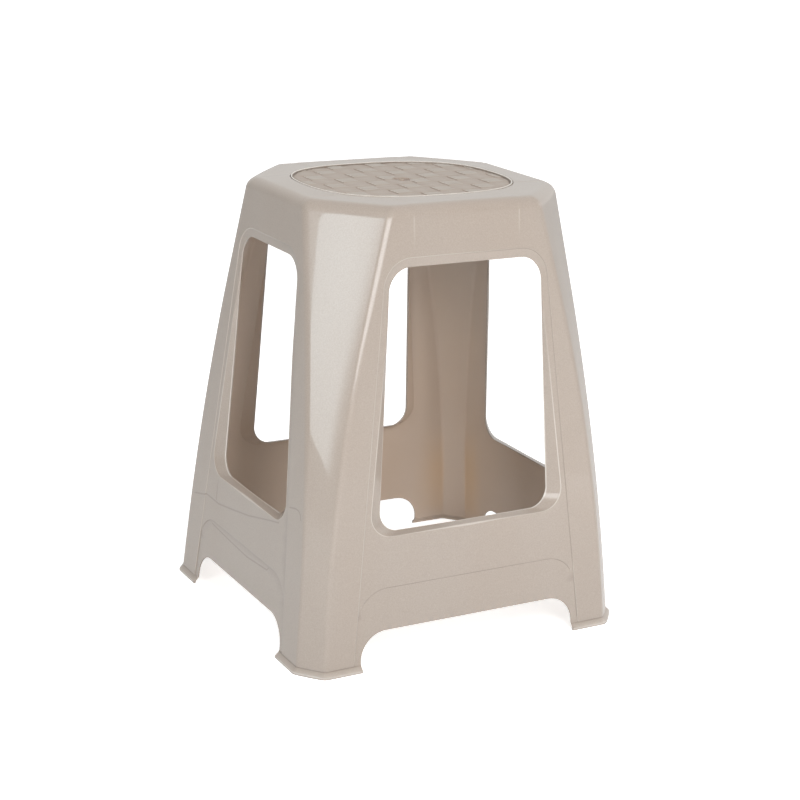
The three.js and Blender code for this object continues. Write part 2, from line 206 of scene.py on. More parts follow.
class StoolRelief(bpy.types.PropertyGroup):
    """Sizes of the fine lines on the outer faces."""

    step_height: length("Leg step", "How far the legs stand proud of the bands beside them", mm(0.55))
    step_width: length("Step width", "Width of the slope of a fine step", mm(0.9))
    step_groove: length("Step groove", "Depth of the fine groove at a step's foot", mm(0.3))
    step_top: length("Step top", "Height at which the leg step crosses above the window", mm(400.2))
    step_radius: length("Step radius", "At the upper corners of the leg step", mm(29.5))
    band_height: length("Arch step height", "Where the step over the arch runs", mm(80.2))
    band_step: length("Arch step", "How far the panel drops below that line", mm(0.45))
    band_radius: length("Arch step radius", "At its corners", mm(33))
    crease_step: length("Crease step", "How far the middle of the rim stands proud", mm(0.35))
    crease_width: length("Crease width", "Width of the crease's slope", mm(2.4))
    crease_full: length("Crease full", "How far below the rim a crease has its full height", mm(4))
    crease_lit: length("Crease lit", "How far below the rim a crease has its full light", mm(15))
    head_dish: length("Head dish", "How far the band round a window's head leans in", mm(1.2))
    head_band: length("Head band", "Width of the band round a window's head", mm(9))
    head_fade: length("Head fade", "Height over which the head's dish and the sill's light fade", mm(60))
    flow_depth: length("Flow mark depth", "Depth of the marks where the plastic met in the mould", mm(0.25))
    flow_width: length("Flow mark width", "Width of those marks", mm(2.6))
    rim_crown: length("Rim crown", "How far the rim rises towards the inlay", mm(0.5))
    crown_width: length("Crown width", "How far from the inlay the rim starts to rise", mm(16))
    # Where the inside gets a painted glow for light that soaks through the wall
    soak_reach: length("Soak reach", "How far from a corner light soaks through", mm(42))
    soak_start: length("Soak start", "Height from which the soaked tint is full", mm(25))
    soak_fade: length("Soak fade", "Height from which the soaked tint fades", mm(55))
    soak_end: length("Soak end", "Height at which the soaked tint has gone", mm(140))
    # Painted highlights: how much of the edge colour the marks put on these edges
    leg_light: share("Leg step light", "How much of the leg step's edge is lit low down", 0.6)
    arch_light: share("Arch step light", "How much of the arch step's edge is lit", 0.35)
    crease_light: share("Crease light", "How light the creases down from the rim are", 0.2)
    round_light: share("Round light", "How light the round into a window's reveal is", 0.5)
    cut_light: share("Cut edge light", "How light a window's cut edge is at the sill", 0.8)
    cut_light_share: share("Cut edge light above", "Share of that light left at the window's head", 0.3)


class StoolWeave(bpy.types.PropertyGroup):
    """Sizes of the seat's inlay."""

    half_x: length("Inlay half length", "From the middle to the bead's foot", SEAT_HIGH.x)
    half_y: length("Inlay half width", "From the middle to the bead's foot", SEAT_HIGH.y)
    power: amount("Squareness", "Power of the superellipse", 2.61)
    bead_width: length("Bead width", "Width of the bead round the inlay", mm(2.2))
    inlay_drop: length("Inlay drop", "From the rim down to the inlay", mm(0.5))
    ground_drop: length("Ground drop", "From the inlay's face down to the strands' ground", mm(0.45))
    cell_x: length("Cell length", "From strand to strand along X", mm(23.4))
    cell_y: length("Cell width", "From strand to strand along Y", mm(24))
    origin_x: length("Weave origin", "Where a strand's left edge lies", mm(5.5))
    strand: length("Strand width", "Width of the strands that run along Y", mm(17))
    over: length("Strand rise", "Height of the strands along Y above the inlay's ground", mm(1.15))
    cross: length("Cross strand rise", "Mean height of the strands along X", mm(0.5))
    gap: length("Strand gap", "Depth of the gap beside the strands along Y", mm(0.6))
    edge: length("Strand edge", "Width of the slope at a strand's edges", mm(0.25))
    dive: length("Strand dive", "Length over which a strand goes under", mm(3.6))
    wave: length("Cross strand wave", "How far the strands along X rise and fall", mm(0.35))
    bead_rise: length("Bead rise", "How far the bead stands above the rim", mm(1.3))
    groove: length("Bead groove", "Depth of the groove outside the bead", mm(0.9))
    groove_round: length("Groove round", "Radius where the rim turns down into the groove", mm(0.7))
    foot_groove: length("Foot groove", "Depth of the groove inside the bead", mm(0.8))
    gate_radius: length("Gate dish", "Radius of the dish in the middle", mm(9.5))
    gate_depth: length("Gate depth", "Depth of the dish", mm(0.6))
    nub_radius: length("Gate nub", "Radius of the trimmed gate", mm(3.4))
    nub_height: length("Nub height", "Height of the trimmed gate", mm(1.9))
    nub_rough: share("Nub roughness", "How uneven the trimmed gate is", 0.28)
    end_share: share("Strand end", "Share of its height that a strand along Y keeps at its ends", 0.45)
    cross_share: share("Cross strand end", "Share of its height that a strand along X keeps at its ends", 0.7)
    crown: share("Strand crown", "How much lower a strand along Y is at its edges", 0.12)
    edge_light: share("Strand edge light", "How light the edges of the strands along Y are", 0.7)

    def outline(self, inset, steps=200):
        """The inlay's outline, moved in by an inset."""
        angles = np.linspace(0, 2 * math.pi, steps, endpoint=False)
        return superellipse(self.half_x - inset, self.half_y - inset, self.power, angles)

    def ratio(self, points):
        """How far out points lie: 1 on the inlay's outline, less inside it."""
        scaled = np.abs(points / np.array([self.half_x, self.half_y])) ** self.power
        return scaled.sum(axis=1) ** (1 / self.power)


class StoolRibs(bpy.types.PropertyGroup):
    """Sizes of the ribs under the seat."""

    thickness: length("Rib thickness", "At the root", mm(2))
    tip: length("Rib tip", "Thickness at the lower edge", mm(1.3))
    root: length("Root fillet", "Radius against the seat", mm(1.5))
    pitch: length("Rib pitch", "From rib to rib", mm(30))
    hoop_inset: length("Hoop inset", "From the inlay's outline in to the hoop", mm(7))


class StoolColours(bpy.types.PropertyGroup):
    """Colours and finish of the plastic."""

    plastic: colour("Plastic", "Body colour of the moulding", (0.425, 0.364, 0.316, 1.0))
    plastic_warm: colour("Warm plastic", "Colour of the warmer streaks", (0.415, 0.347, 0.294, 1.0))
    # Painted shade for the grooves at the steps, the lip and the bead's foot; the flow marks take it as their
    # own darker colour
    groove_shade_and_flow_mark: colour("Line shade", "Colour down in the fine lines", (0.16, 0.13, 0.11, 1.0))
    # A painted highlight: the colour of edges, the bead's crest and the gate nub's top where they catch the
    # light
    edge: colour("Line edge", "Colour of edges that catch the light", (0.80, 0.76, 0.71, 1.0))
    speckle: colour("Speckle", "Colour of the fine speckle", (0.2, 0.165, 0.14, 1.0))
    # A painted glow: the warm colour that stands in for light soaking through the wall
    soak: colour("Soaked plastic", "Colour where light soaks through", (0.67, 0.455, 0.255, 1.0))
    # The inside is painted lighter and warmer than the outside plastic, standing in for the light that comes
    # through the thin wall
    inner: colour("Inner plastic", "Colour of the matt inside", (0.555, 0.46, 0.388, 1.0))
    inner_warm: colour("Warm inner plastic", "Colour of its warmer streaks", (0.57, 0.448, 0.352, 1.0))
    # The strands that stand up are painted lighter for the light they catch; the ground is the plastic's own
    # colour; the gaps get painted shade, whose colour the fibre streaks share
    woven: colour("Woven tops", "Colour of the strands that stand up", (0.45, 0.40, 0.345, 1.0))
    woven_low: colour("Woven ground", "Colour of the strands that lie lower", (0.395, 0.318, 0.26, 1.0))
    woven_shade_and_streaks: colour("Woven dips", "Colour down in the gaps", (0.24, 0.165, 0.125, 1.0))
    floor: colour("Floor", "Colour of the floor", (0.85, 0.85, 0.85, 1.0))
    backdrop: colour("Backdrop", "Colour of the studio's own light", (1.0, 0.985, 0.96, 1.0))
    roughness: share("Roughness", "Roughness of the moulding", 0.3)
    woven_roughness: share("Woven roughness", "Roughness of the inlay", 0.45)
    gloss: share("Gloss", "Weight of the glossy skin over the plastic", 0.8)
    shade_weight: share("Line shade weight", "How far the fine lines go to their shade", 0.45)
    edge_weight: share("Line edge weight", "How far the lit edges go to their colour", 0.9)


class StoolStudio(bpy.types.PropertyGroup):
    """The camera and the lights."""

    camera: FloatVectorProperty(
        name="Camera", description="Where the camera stands", default=(-0.8919, -1.6372, 0.7747),
        subtype="TRANSLATION", unit="LENGTH",
    )
    azimuth: bearing("Azimuth", "Direction of view, from +Y towards +X", math.radians(28.73))
    elevation: bearing("Elevation", "How far the view looks down", math.radians(16.70))
    roll: bearing("Roll", "Turn of the camera about its view", math.radians(1.65))
    lens: amount("Lens", "Focal length in millimetres for the sensor's width", 83.45)
    sensor: amount("Sensor", "Width of the sensor in millimetres", 36.0)
    aim_height: length("Aim height", "Height at which the softboxes are aimed", 0.3)
    dim: amount("Dim side", "Light from the front and the left", 0.26)
    bright: amount("Bright side", "Light from the back right", 0.75)
    above: amount("Above", "Light added towards straight above", 0.15)
    floor_reach: length("Floor reach", "From the middle to the floor's edges", 12.0)
    near: length("Near glow reach", "How far from the middle the floor's near glow reaches", 0.4)
    far: length("Far glow start", "How far from the middle the floor's far glow starts", 2.6)
    floor_gloss: share("Floor in reflections", "Share of the floor's glow that reflections show", 0.15)
    white_near: amount("White near", "Glow of the floor by the stool", 0.7)
    white_far: amount("White far", "Glow of the floor far behind", 0.75)
    key: amount("Key", "Brightness of the front softbox", 4.7)
    chamfer: amount("Chamfer light", "Brightness of the left softbox", 4.4)
    edge: amount("Edge light", "Brightness of the right softbox", 4.0)
    fill: amount("Fill", "Brightness of the front bounce, of which the others take shares", 17.4)


# Flat outlines: arrays of [u, v] points, anticlockwise


def inset_corners(corners, inset):
    """Moves every edge of a convex outline inwards and returns its new corners."""
    corners = np.asarray(corners, float)
    along = np.roll(corners, -1, axis=0) - corners
    along /= np.linalg.norm(along, axis=1)[:, None]
    start = corners + inset * np.stack([-along[:, 1], along[:, 0]], axis=1)
    last, last_start = np.roll(along, 1, axis=0), np.roll(start, 1, axis=0)
    cross = last[:, 0] * along[:, 1] - last[:, 1] * along[:, 0]
    gap = start - last_start
    reach = (gap[:, 0] * along[:, 1] - gap[:, 1] * along[:, 0]) / cross
    return last_start + last * reach[:, None]


def round_corners(corners, radii, arc_steps, run_steps):
    """Rounds each corner with its radius, and cuts the run after it into steps. No radius means one point."""
    corners = np.asarray(corners, float)
    arcs = []
    for i, corner in enumerate(corners):
        if not radii[i]:
            arcs.append(corner[None])
            continue
        into = corner - corners[i - 1]
        out = corners[(i + 1) % len(corners)] - corner
        start = math.atan2(into[1], into[0])
        turn = math.atan2(into[0] * out[1] - into[1] * out[0], into @ out)
        tangent = radii[i] * math.tan(turn / 2)
        first = corner - tangent * np.array([math.cos(start), math.sin(start)])
        centre = first + radii[i] * np.array([-math.sin(start), math.cos(start)])
        angles = start + turn * np.linspace(0, 1, arc_steps + 1)
        arcs.append(centre + radii[i] * np.stack([np.sin(angles), -np.cos(angles)], axis=1))
    points = []
    for i, arc in enumerate(arcs):
        after = arcs[(i + 1) % len(arcs)][0]
        between = np.linspace(0, 1, run_steps[i] + 1)[1:-1, None]
        points += [arc, arc[-1] + (after - arc[-1]) * between]
    return np.concatenate(points)


def superellipse(half_x, half_y, power, angles):
    u, v = np.cos(angles), np.sin(angles)
    x = half_x * np.sign(u) * np.abs(u) ** (2 / power)
    y = half_y * np.sign(v) * np.abs(v) ** (2 / power)
    return np.stack([x, y], axis=1)


def with_height(flat, z):
    """Flat places with a height added: one for all, or one for each."""
    return np.column_stack([flat, np.broadcast_to(z, len(flat))])


def inside(outline, points):
    """Which points lie inside a closed outline."""
    x, y = points[:, 0, None], points[:, 1, None]
    x0, y0 = outline[None, :, 0], outline[None, :, 1]
    x1, y1 = np.roll(x0, -1, axis=1), np.roll(y0, -1, axis=1)
    crosses = (y0 > y) != (y1 > y)
    with np.errstate(divide="ignore", invalid="ignore"):
        at = x0 + (y - y0) * (x1 - x0) / (y1 - y0)
    return (np.where(crosses, at, -np.inf) > x).sum(axis=1) % 2 == 1


def distance(line, points, closed=False):
    """From each point to the nearest place on a line of points."""
    start = line if closed else line[:-1]
    end = np.roll(line, -1, axis=0) if closed else line[1:]
    along = (end - start)[None]
    gap = points[:, None] - start[None]
    reach = np.clip((gap * along).sum(2) / np.maximum((along**2).sum(2), 1e-18), 0, 1)
    return np.linalg.norm(gap - along * reach[..., None], axis=2).min(axis=1)


def smooth(low, high, values):
    """0 up to low, 1 from high on, and a soft curve between."""
    t = np.clip((values - low) / (high - low), 0, 1)
    return t * t * (3 - 2 * t)


# Mesh code


SAME_PLACE = 1e-8
SKIN_MERGE = mm(0.002)
PLAIN_MERGE = mm(0.001)
LINE_CLEARANCE_SHARE = 0.4


class MeshMaker:
    """Collects points and faces, and turns them into one mesh object.

    Each point has a mark. On the outside, above 0 paints shade into a fine groove and gives the flow marks
    their darker colour, and below 0 paints a highlight on an edge. On the inside, it is how much painted glow
    stands in for light soaking through.
    """

    def __init__(self):
        self.points = []
        self.faces = []
        self.marks = []
        self.finishes = []
        self.count = 0

    def add(self, points, faces, marks=0.0, finish=OUTER):
        points = np.asarray(points, float).reshape(-1, 3)
        self.points.append(points)
        self.marks.append(np.broadcast_to(marks, len(points)))
        self.faces += [[int(i) + self.count for i in face] for face in faces]
        self.finishes += [finish] * len(faces)
        self.count += len(points)

    def grid(self, rows, closed=False, marks=0.0, finish=OUTER):
        """Quads over rows of points. In closed rows the last point is joined to the first."""
        rows = np.asarray(rows, float)
        across, along = rows.shape[:2]
        faces = []
        for i in range(across - 1):
            for j in range(along if closed else along - 1):
                k = (j + 1) % along
                faces.append((i * along + j, i * along + k, (i + 1) * along + k, (i + 1) * along + j))
        self.add(rows, faces, marks, finish)

    def object(self, name, merge):
        """The mesh as an object, with points nearer to each other than the merge distance made one."""
        mesh = bpy.data.meshes.new(name)
        work = bmesh.new()
        line = work.verts.layers.float.new("line")
        vertices = [work.verts.new(p) for p in np.concatenate(self.points)]
        for vertex, mark in zip(vertices, np.concatenate(self.marks)):
            vertex[line] = float(mark)
        for face, finish in zip(self.faces, self.finishes):
            if len(set(face)) > 2:
                work.faces.new([vertices[i] for i in face]).material_index = finish
        bmesh.ops.remove_doubles(work, verts=work.verts, dist=merge)
        bmesh.ops.recalc_face_normals(work, faces=work.faces)
        for face in work.faces:
            face.smooth = True
        work.to_mesh(mesh)
        work.free()
        made = bpy.data.objects.new(name, mesh)
        bpy.context.scene.collection.objects.link(made)
        return made


def even_fill(outline, lines, spacing):
    """Points in staggered rows over an outline, clear of the lines."""
    low, high = outline.min(axis=0), outline.max(axis=0)
    columns = np.arange(low[0] + spacing / 2, high[0], spacing)
    rows = np.arange(low[1] + spacing / 2, high[1], spacing * math.sqrt(0.75))
    fill = np.array([(x + (i % 2) * spacing / 2, y) for i, y in enumerate(rows) for x in columns])
    for line in lines:
        fill = fill[distance(line, fill) > spacing * LINE_CLEARANCE_SHARE]
    return fill


def sheet(outline, holes, lines, fill, clear):
    """Triangles over a flat outline with holes. They keep the lines, and use fill points well inside."""
    fill = fill[inside(outline, fill)]
    for hole in holes:
        fill = fill[~inside(hole, fill)]
    for loop in [outline, *holes]:
        fill = fill[distance(loop, fill, closed=True) > clear]
    points, edges = [], []
    for loop in [outline, *holes]:
        edges += [(len(points) + i, len(points) + (i + 1) % len(loop)) for i in range(len(loop))]
        points += [Vector(p) for p in loop]
    for line in lines:
        edges += [(len(points) + i, len(points) + i + 1) for i in range(len(line) - 1)]
        points += [Vector(p) for p in line]
    points += [Vector(p) for p in fill]
    made = delaunay_2d_cdt(points, edges, [], 0, SAME_PLACE)
    flat = np.array([tuple(p) for p in made[0]])
    faces = np.array([tuple(f) for f in made[2]])
    middle = flat[faces].mean(axis=1)
    keep = inside(outline, middle)
    for hole in holes:
        keep &= ~inside(hole, middle)
    return flat, faces[keep]


def cut_edge(outer, inner, away, radius, steps=4):
    """Rows of points from an outer skin round a cut edge to the inner skin. Away points into the opening."""
    across = inner - outer
    thickness = np.linalg.norm(across, axis=1)[:, None]
    across = across / thickness
    rows = []
    for angle in np.linspace(0, math.pi / 2, steps + 1):
        rows.append(outer + away * radius * math.sin(angle) + across * radius * (1 - math.cos(angle)))
    for angle in np.linspace(math.pi / 2, 0, steps + 1):
        rows.append(inner + away * radius * math.sin(angle) - across * radius * (1 - math.cos(angle)))
    return np.stack(rows)


# The shell's form

ARC_STEPS = 12
RUN_STEP = mm(6)
FILL_STEP = mm(11)
FILL_CLEARANCE = mm(6)
RIM_FILL_STEP = mm(6)
LINE_CLEARANCE = mm(1)
STEP_CLEARANCE = mm(1.5)
COLUMN_CLEARANCE = mm(2)
LIP_CLEARANCE = mm(2.8)
REVEAL_CLEARANCE = mm(0.6)
LEAST_REVEAL = mm(0.15)
GROOVE_REACH = mm(0.3)
RIM_LINE_CLEARANCE = mm(0.8)
MIRROR = np.array([-1, 1])
BESIDE_SEAT_SHARE = 0.7
REVEAL_ROUND_SHARE = 0.45

# The marks of the lip's rows, from the top down: the groove is shaded, and the edge is lit
LIP_MARKS = (0, 0, 0.9, 0.9, 0, -0.2, -0.5, 0, 0)

# Where the painted highlight on the leg step's edge ends: between these places along a side, and below the
# arch step
LIT_ALONG = (mm(-30), mm(60))
LIT_DOWN = (mm(14), mm(3))


class Side:
    """One side of the shell, with the sizes that it and its neighbours give it."""

    def __init__(self, shape, relief, index):
        self.shape, self.relief, self.index = shape, relief, index
        self.kind = (shape.wide, shape.narrow)[index % 2]
        self.next = (shape.narrow, shape.wide)[index % 2]

    def offset(self, kind, z):
        return kind.floor_offset + (kind.top_offset - kind.floor_offset) * z / self.shape.rim_top

    def chamfer(self, kind, z):
        """How much of a side's width the corner takes: two straight runs joined by a curve."""
        bend, blend = self.shape.bend_height, self.shape.bend_blend
        low = (kind.chamfer_bend - kind.chamfer_floor) / bend
        high = (kind.chamfer_top - kind.chamfer_bend) / (self.shape.rim_top - bend)
        past = z - bend
        curved = (past + blend / 2) ** 2 / (2 * blend)
        lifted = np.where(np.abs(past) < blend / 2, curved, np.maximum(past, 0))
        return kind.chamfer_bend + low * past + (high - low) * lifted

    def crease_radius(self, kind, z):
        return kind.round_floor + (kind.round_top - kind.round_floor) * z / self.shape.rim_top

    def corner(self, z):
        """Half the side's width at a height, and the angle by which the chamfer turns away from it."""
        mine, theirs = self.chamfer(self.kind, z), self.chamfer(self.next, z)
        return self.offset(self.next, z) - mine, np.arctan2(theirs, mine)

    def flat_half(self, z):
        half, turn = self.corner(z)
        return half - self.crease_radius(self.kind, z) * np.tan(turn / 2)

    def turned(self, x, y, z):
        for _ in range(self.index):
            x, y = -y, x
        return np.stack(np.broadcast_arrays(x, y, z), axis=-1)

    def place(self, s, z, inset=0.0):
        return self.turned(s, inset - self.offset(self.kind, z), z)

    def corner_grid(self, z, inset, arc=7, chamfer=8):
        """Rows of points round the corner to the next side, one row for each height and inset."""
        z, inset = np.broadcast_arrays(np.asarray(z, float)[:, None], np.asarray(inset, float)[:, None])
        half, turn = self.corner(z)
        back = math.pi / 2 - turn
        radius = self.crease_radius(self.kind, z) - inset
        far_radius = self.crease_radius(self.next, z) - inset
        near = half - inset * np.tan(turn / 2) - radius * np.tan(turn / 2)
        near_y = inset - self.offset(self.kind, z) + radius
        far_x = self.offset(self.next, z) - inset - far_radius
        far = self.chamfer(self.next, z) - self.offset(self.kind, z)
        far = far + (inset + far_radius) * np.tan(back / 2)
        bow = self.shape.chamfer_bow
        first = (turn - bow) * np.linspace(0, 1, arc + 1)
        second = turn + bow + (back - bow) * np.linspace(0, 1, arc + 1)
        x1, y1 = near + radius * np.sin(first), near_y - radius * np.cos(first)
        x2, y2 = far_x + far_radius * np.sin(second), far - far_radius * np.cos(second)
        run = np.linspace(0, 1, chamfer + 1)[1:-1]
        across_x, across_y = x2[:, :1] - x1[:, -1:], y2[:, :1] - y1[:, -1:]
        out = bow * run * (1 - run)
        x3 = x1[:, -1:] + across_x * run + across_y * out
        y3 = y1[:, -1:] + across_y * run - across_x * out
        return self.turned(np.hstack([x1, x3, x2]), np.hstack([y1, y3, y2]), z)

    # Outlines on the side

    def step_at(self, z):
        kind = self.kind
        return kind.step_floor + (kind.step_head - kind.step_floor) * z / self.relief.step_top

    def window(self, side_spread_sill, side_spread_head, drop):
        """The opening's outline, or one that lies outside it by the given amounts."""
        shape, kind = self.shape, self.kind
        rise = (shape.reveal_end - shape.sill_height) / (shape.head_height - shape.sill_height)
        middle = kind.sill_half + (kind.head_half - kind.sill_half) * rise
        right = [
            (kind.sill_half + side_spread_sill, shape.sill_height - drop),
            (middle + side_spread_head, shape.reveal_end),
            (kind.head_half + side_spread_head, shape.head_height + side_spread_head),
        ]
        corners = right + [(-s, z) for s, z in reversed(right)]
        radii = [shape.sill_radius + drop, 0, shape.head_radius + side_spread_head]
        runs = [30, 5, 20, 5, 30, 24]
        return round_corners(corners, radii + radii[::-1], ARC_STEPS, runs)

    def step_outline(self, top, radius, runs, out):
        """A fine step's line: up from below the floor at one leg, across, and down at the other."""
        low = -self.shape.arch_height
        corners = [(self.step_at(low), low), (self.step_at(top), top)]
        corners += [(-s, z) for s, z in reversed(corners)]
        radii = [0, radius + out, radius + out, 0]
        return round_corners(inset_corners(corners, -out), radii, ARC_STEPS, runs)

    def leg_step(self, out=0.0):
        """The fine step beside the legs and above the window."""
        return self.step_outline(self.relief.step_top, self.relief.step_radius, [80, 30, 80, 1], out)

    def arch_step(self, out=0.0):
        """The step over the arch, whose ends run into the leg step."""
        return self.step_outline(self.relief.band_height, self.relief.band_radius, [20, 40, 20, 1], out)

    def arch(self, out=0.0):
        """The arch from its left foot to its right one, seen as the upper edge of the opening."""
        shape = self.shape
        half, top, low = self.kind.arch_half + out, shape.arch_height + out, -shape.arch_height
        corners = [(half, low), (half, top), (-half, top), (-half, low)]
        radius = shape.arch_radius + out
        points = round_corners(corners, [0, radius, radius, 0], ARC_STEPS, [12, 40, 12, 1])[::-1]
        return points[np.argmin(points[:, 0]) :]

    def height(self, s, z):
        """How far the outer skin stands proud of the plain face: steps, creases and flow marks."""
        relief, kind = self.relief, self.kind
        points = np.stack([s, z], axis=1)
        total = np.zeros(len(points))
        for line, step in ((self.leg_step(), relief.step_height), (self.arch_step(), relief.band_step)):
            gap = distance(line, points, closed=True) * np.where(inside(line, points), -1, 1)
            total -= step * (1 - smooth(-relief.step_width / 2, relief.step_width / 2, gap))
            total -= relief.step_groove * (1 - smooth(0, relief.step_width / 2, np.abs(gap)))
        total -= self.dish(s, z)
        for mark in self.flow_marks():
            total -= relief.flow_depth * (1 - smooth(0, relief.flow_width / 2, distance(mark, points)))
        middle = 1 - smooth(-relief.crease_width / 2, relief.crease_width / 2, np.abs(s) - kind.crease)
        return total + relief.crease_step * middle * self.crease_fade(z, relief.crease_full)

    def crease_fade(self, z, full):
        """How much of a rim crease is left at a height: all near the rim, and none at its lower end."""
        top, drop = self.shape.rim_top, self.kind.crease_drop
        return smooth(top - drop, top - min(full, drop / 2), z)

    def line_marks(self, s, z):
        """How much of a fine line a point shows: above 0 the painted shade at a step's foot and the flow
        marks' own darker colour, below 0 the painted highlight on a step's lit edge and beside a rim crease.
        """
        relief, kind = self.relief, self.kind
        points = np.stack([s, z], axis=1)
        left = 1 - smooth(*LIT_ALONG, s)
        low = 1 - smooth(*(relief.band_height - down for down in LIT_DOWN), z)
        leg_light = np.maximum(left, low * relief.leg_light)
        marks = []
        for step, light in ((self.leg_step, leg_light), (self.arch_step, low * relief.arch_light)):
            foot = distance(step(), points, closed=True)
            edge = distance(step(relief.step_width / 2), points, closed=True)
            marks.append((1 - light) * (1 - smooth(0, kind.line_reach, foot)))
            marks.append(-kind.line_light * light * (1 - smooth(0, relief.step_width / 4, edge)))
        beside = np.abs(np.abs(s) - kind.crease)
        lit = self.crease_fade(z, relief.crease_lit) * (1 - smooth(0, relief.crease_width * 0.45, beside))
        marks.append(-relief.crease_light * lit)
        for mark in self.flow_marks():
            marks.append(1 - smooth(0, relief.flow_width / 3, distance(mark, points)))
        marks = np.array(marks)
        return np.take_along_axis(marks, np.abs(marks).argmax(axis=0)[None], axis=0)[0]

    def soak(self, s, z):
        """Where the inside gets a painted glow for light that soaks through: beside the corners, low down."""
        return self.soak_height(z) * (1 - smooth(0, self.relief.soak_reach, self.flat_half(z) - np.abs(s)))

    def soak_height(self, z):
        relief = self.relief
        return smooth(0, relief.soak_start, z) * (1 - smooth(relief.soak_fade, relief.soak_end, z))

    def dish(self, s, z):
        """How far the band round a window's head leans in, in both skins."""
        relief, end = self.relief, self.shape.reveal_end
        gap = distance(self.window(0, 0, 0), np.stack([s, z], axis=1), closed=True)
        fade = smooth(end - relief.head_fade, end, z)
        return relief.head_dish * (1 - smooth(0, relief.head_band, gap)) * fade

    def flow_marks(self):
        return [mm(np.array(mark, float)) for mark in FLOW_MARKS.get(SIDE_NAMES[self.index], ())]


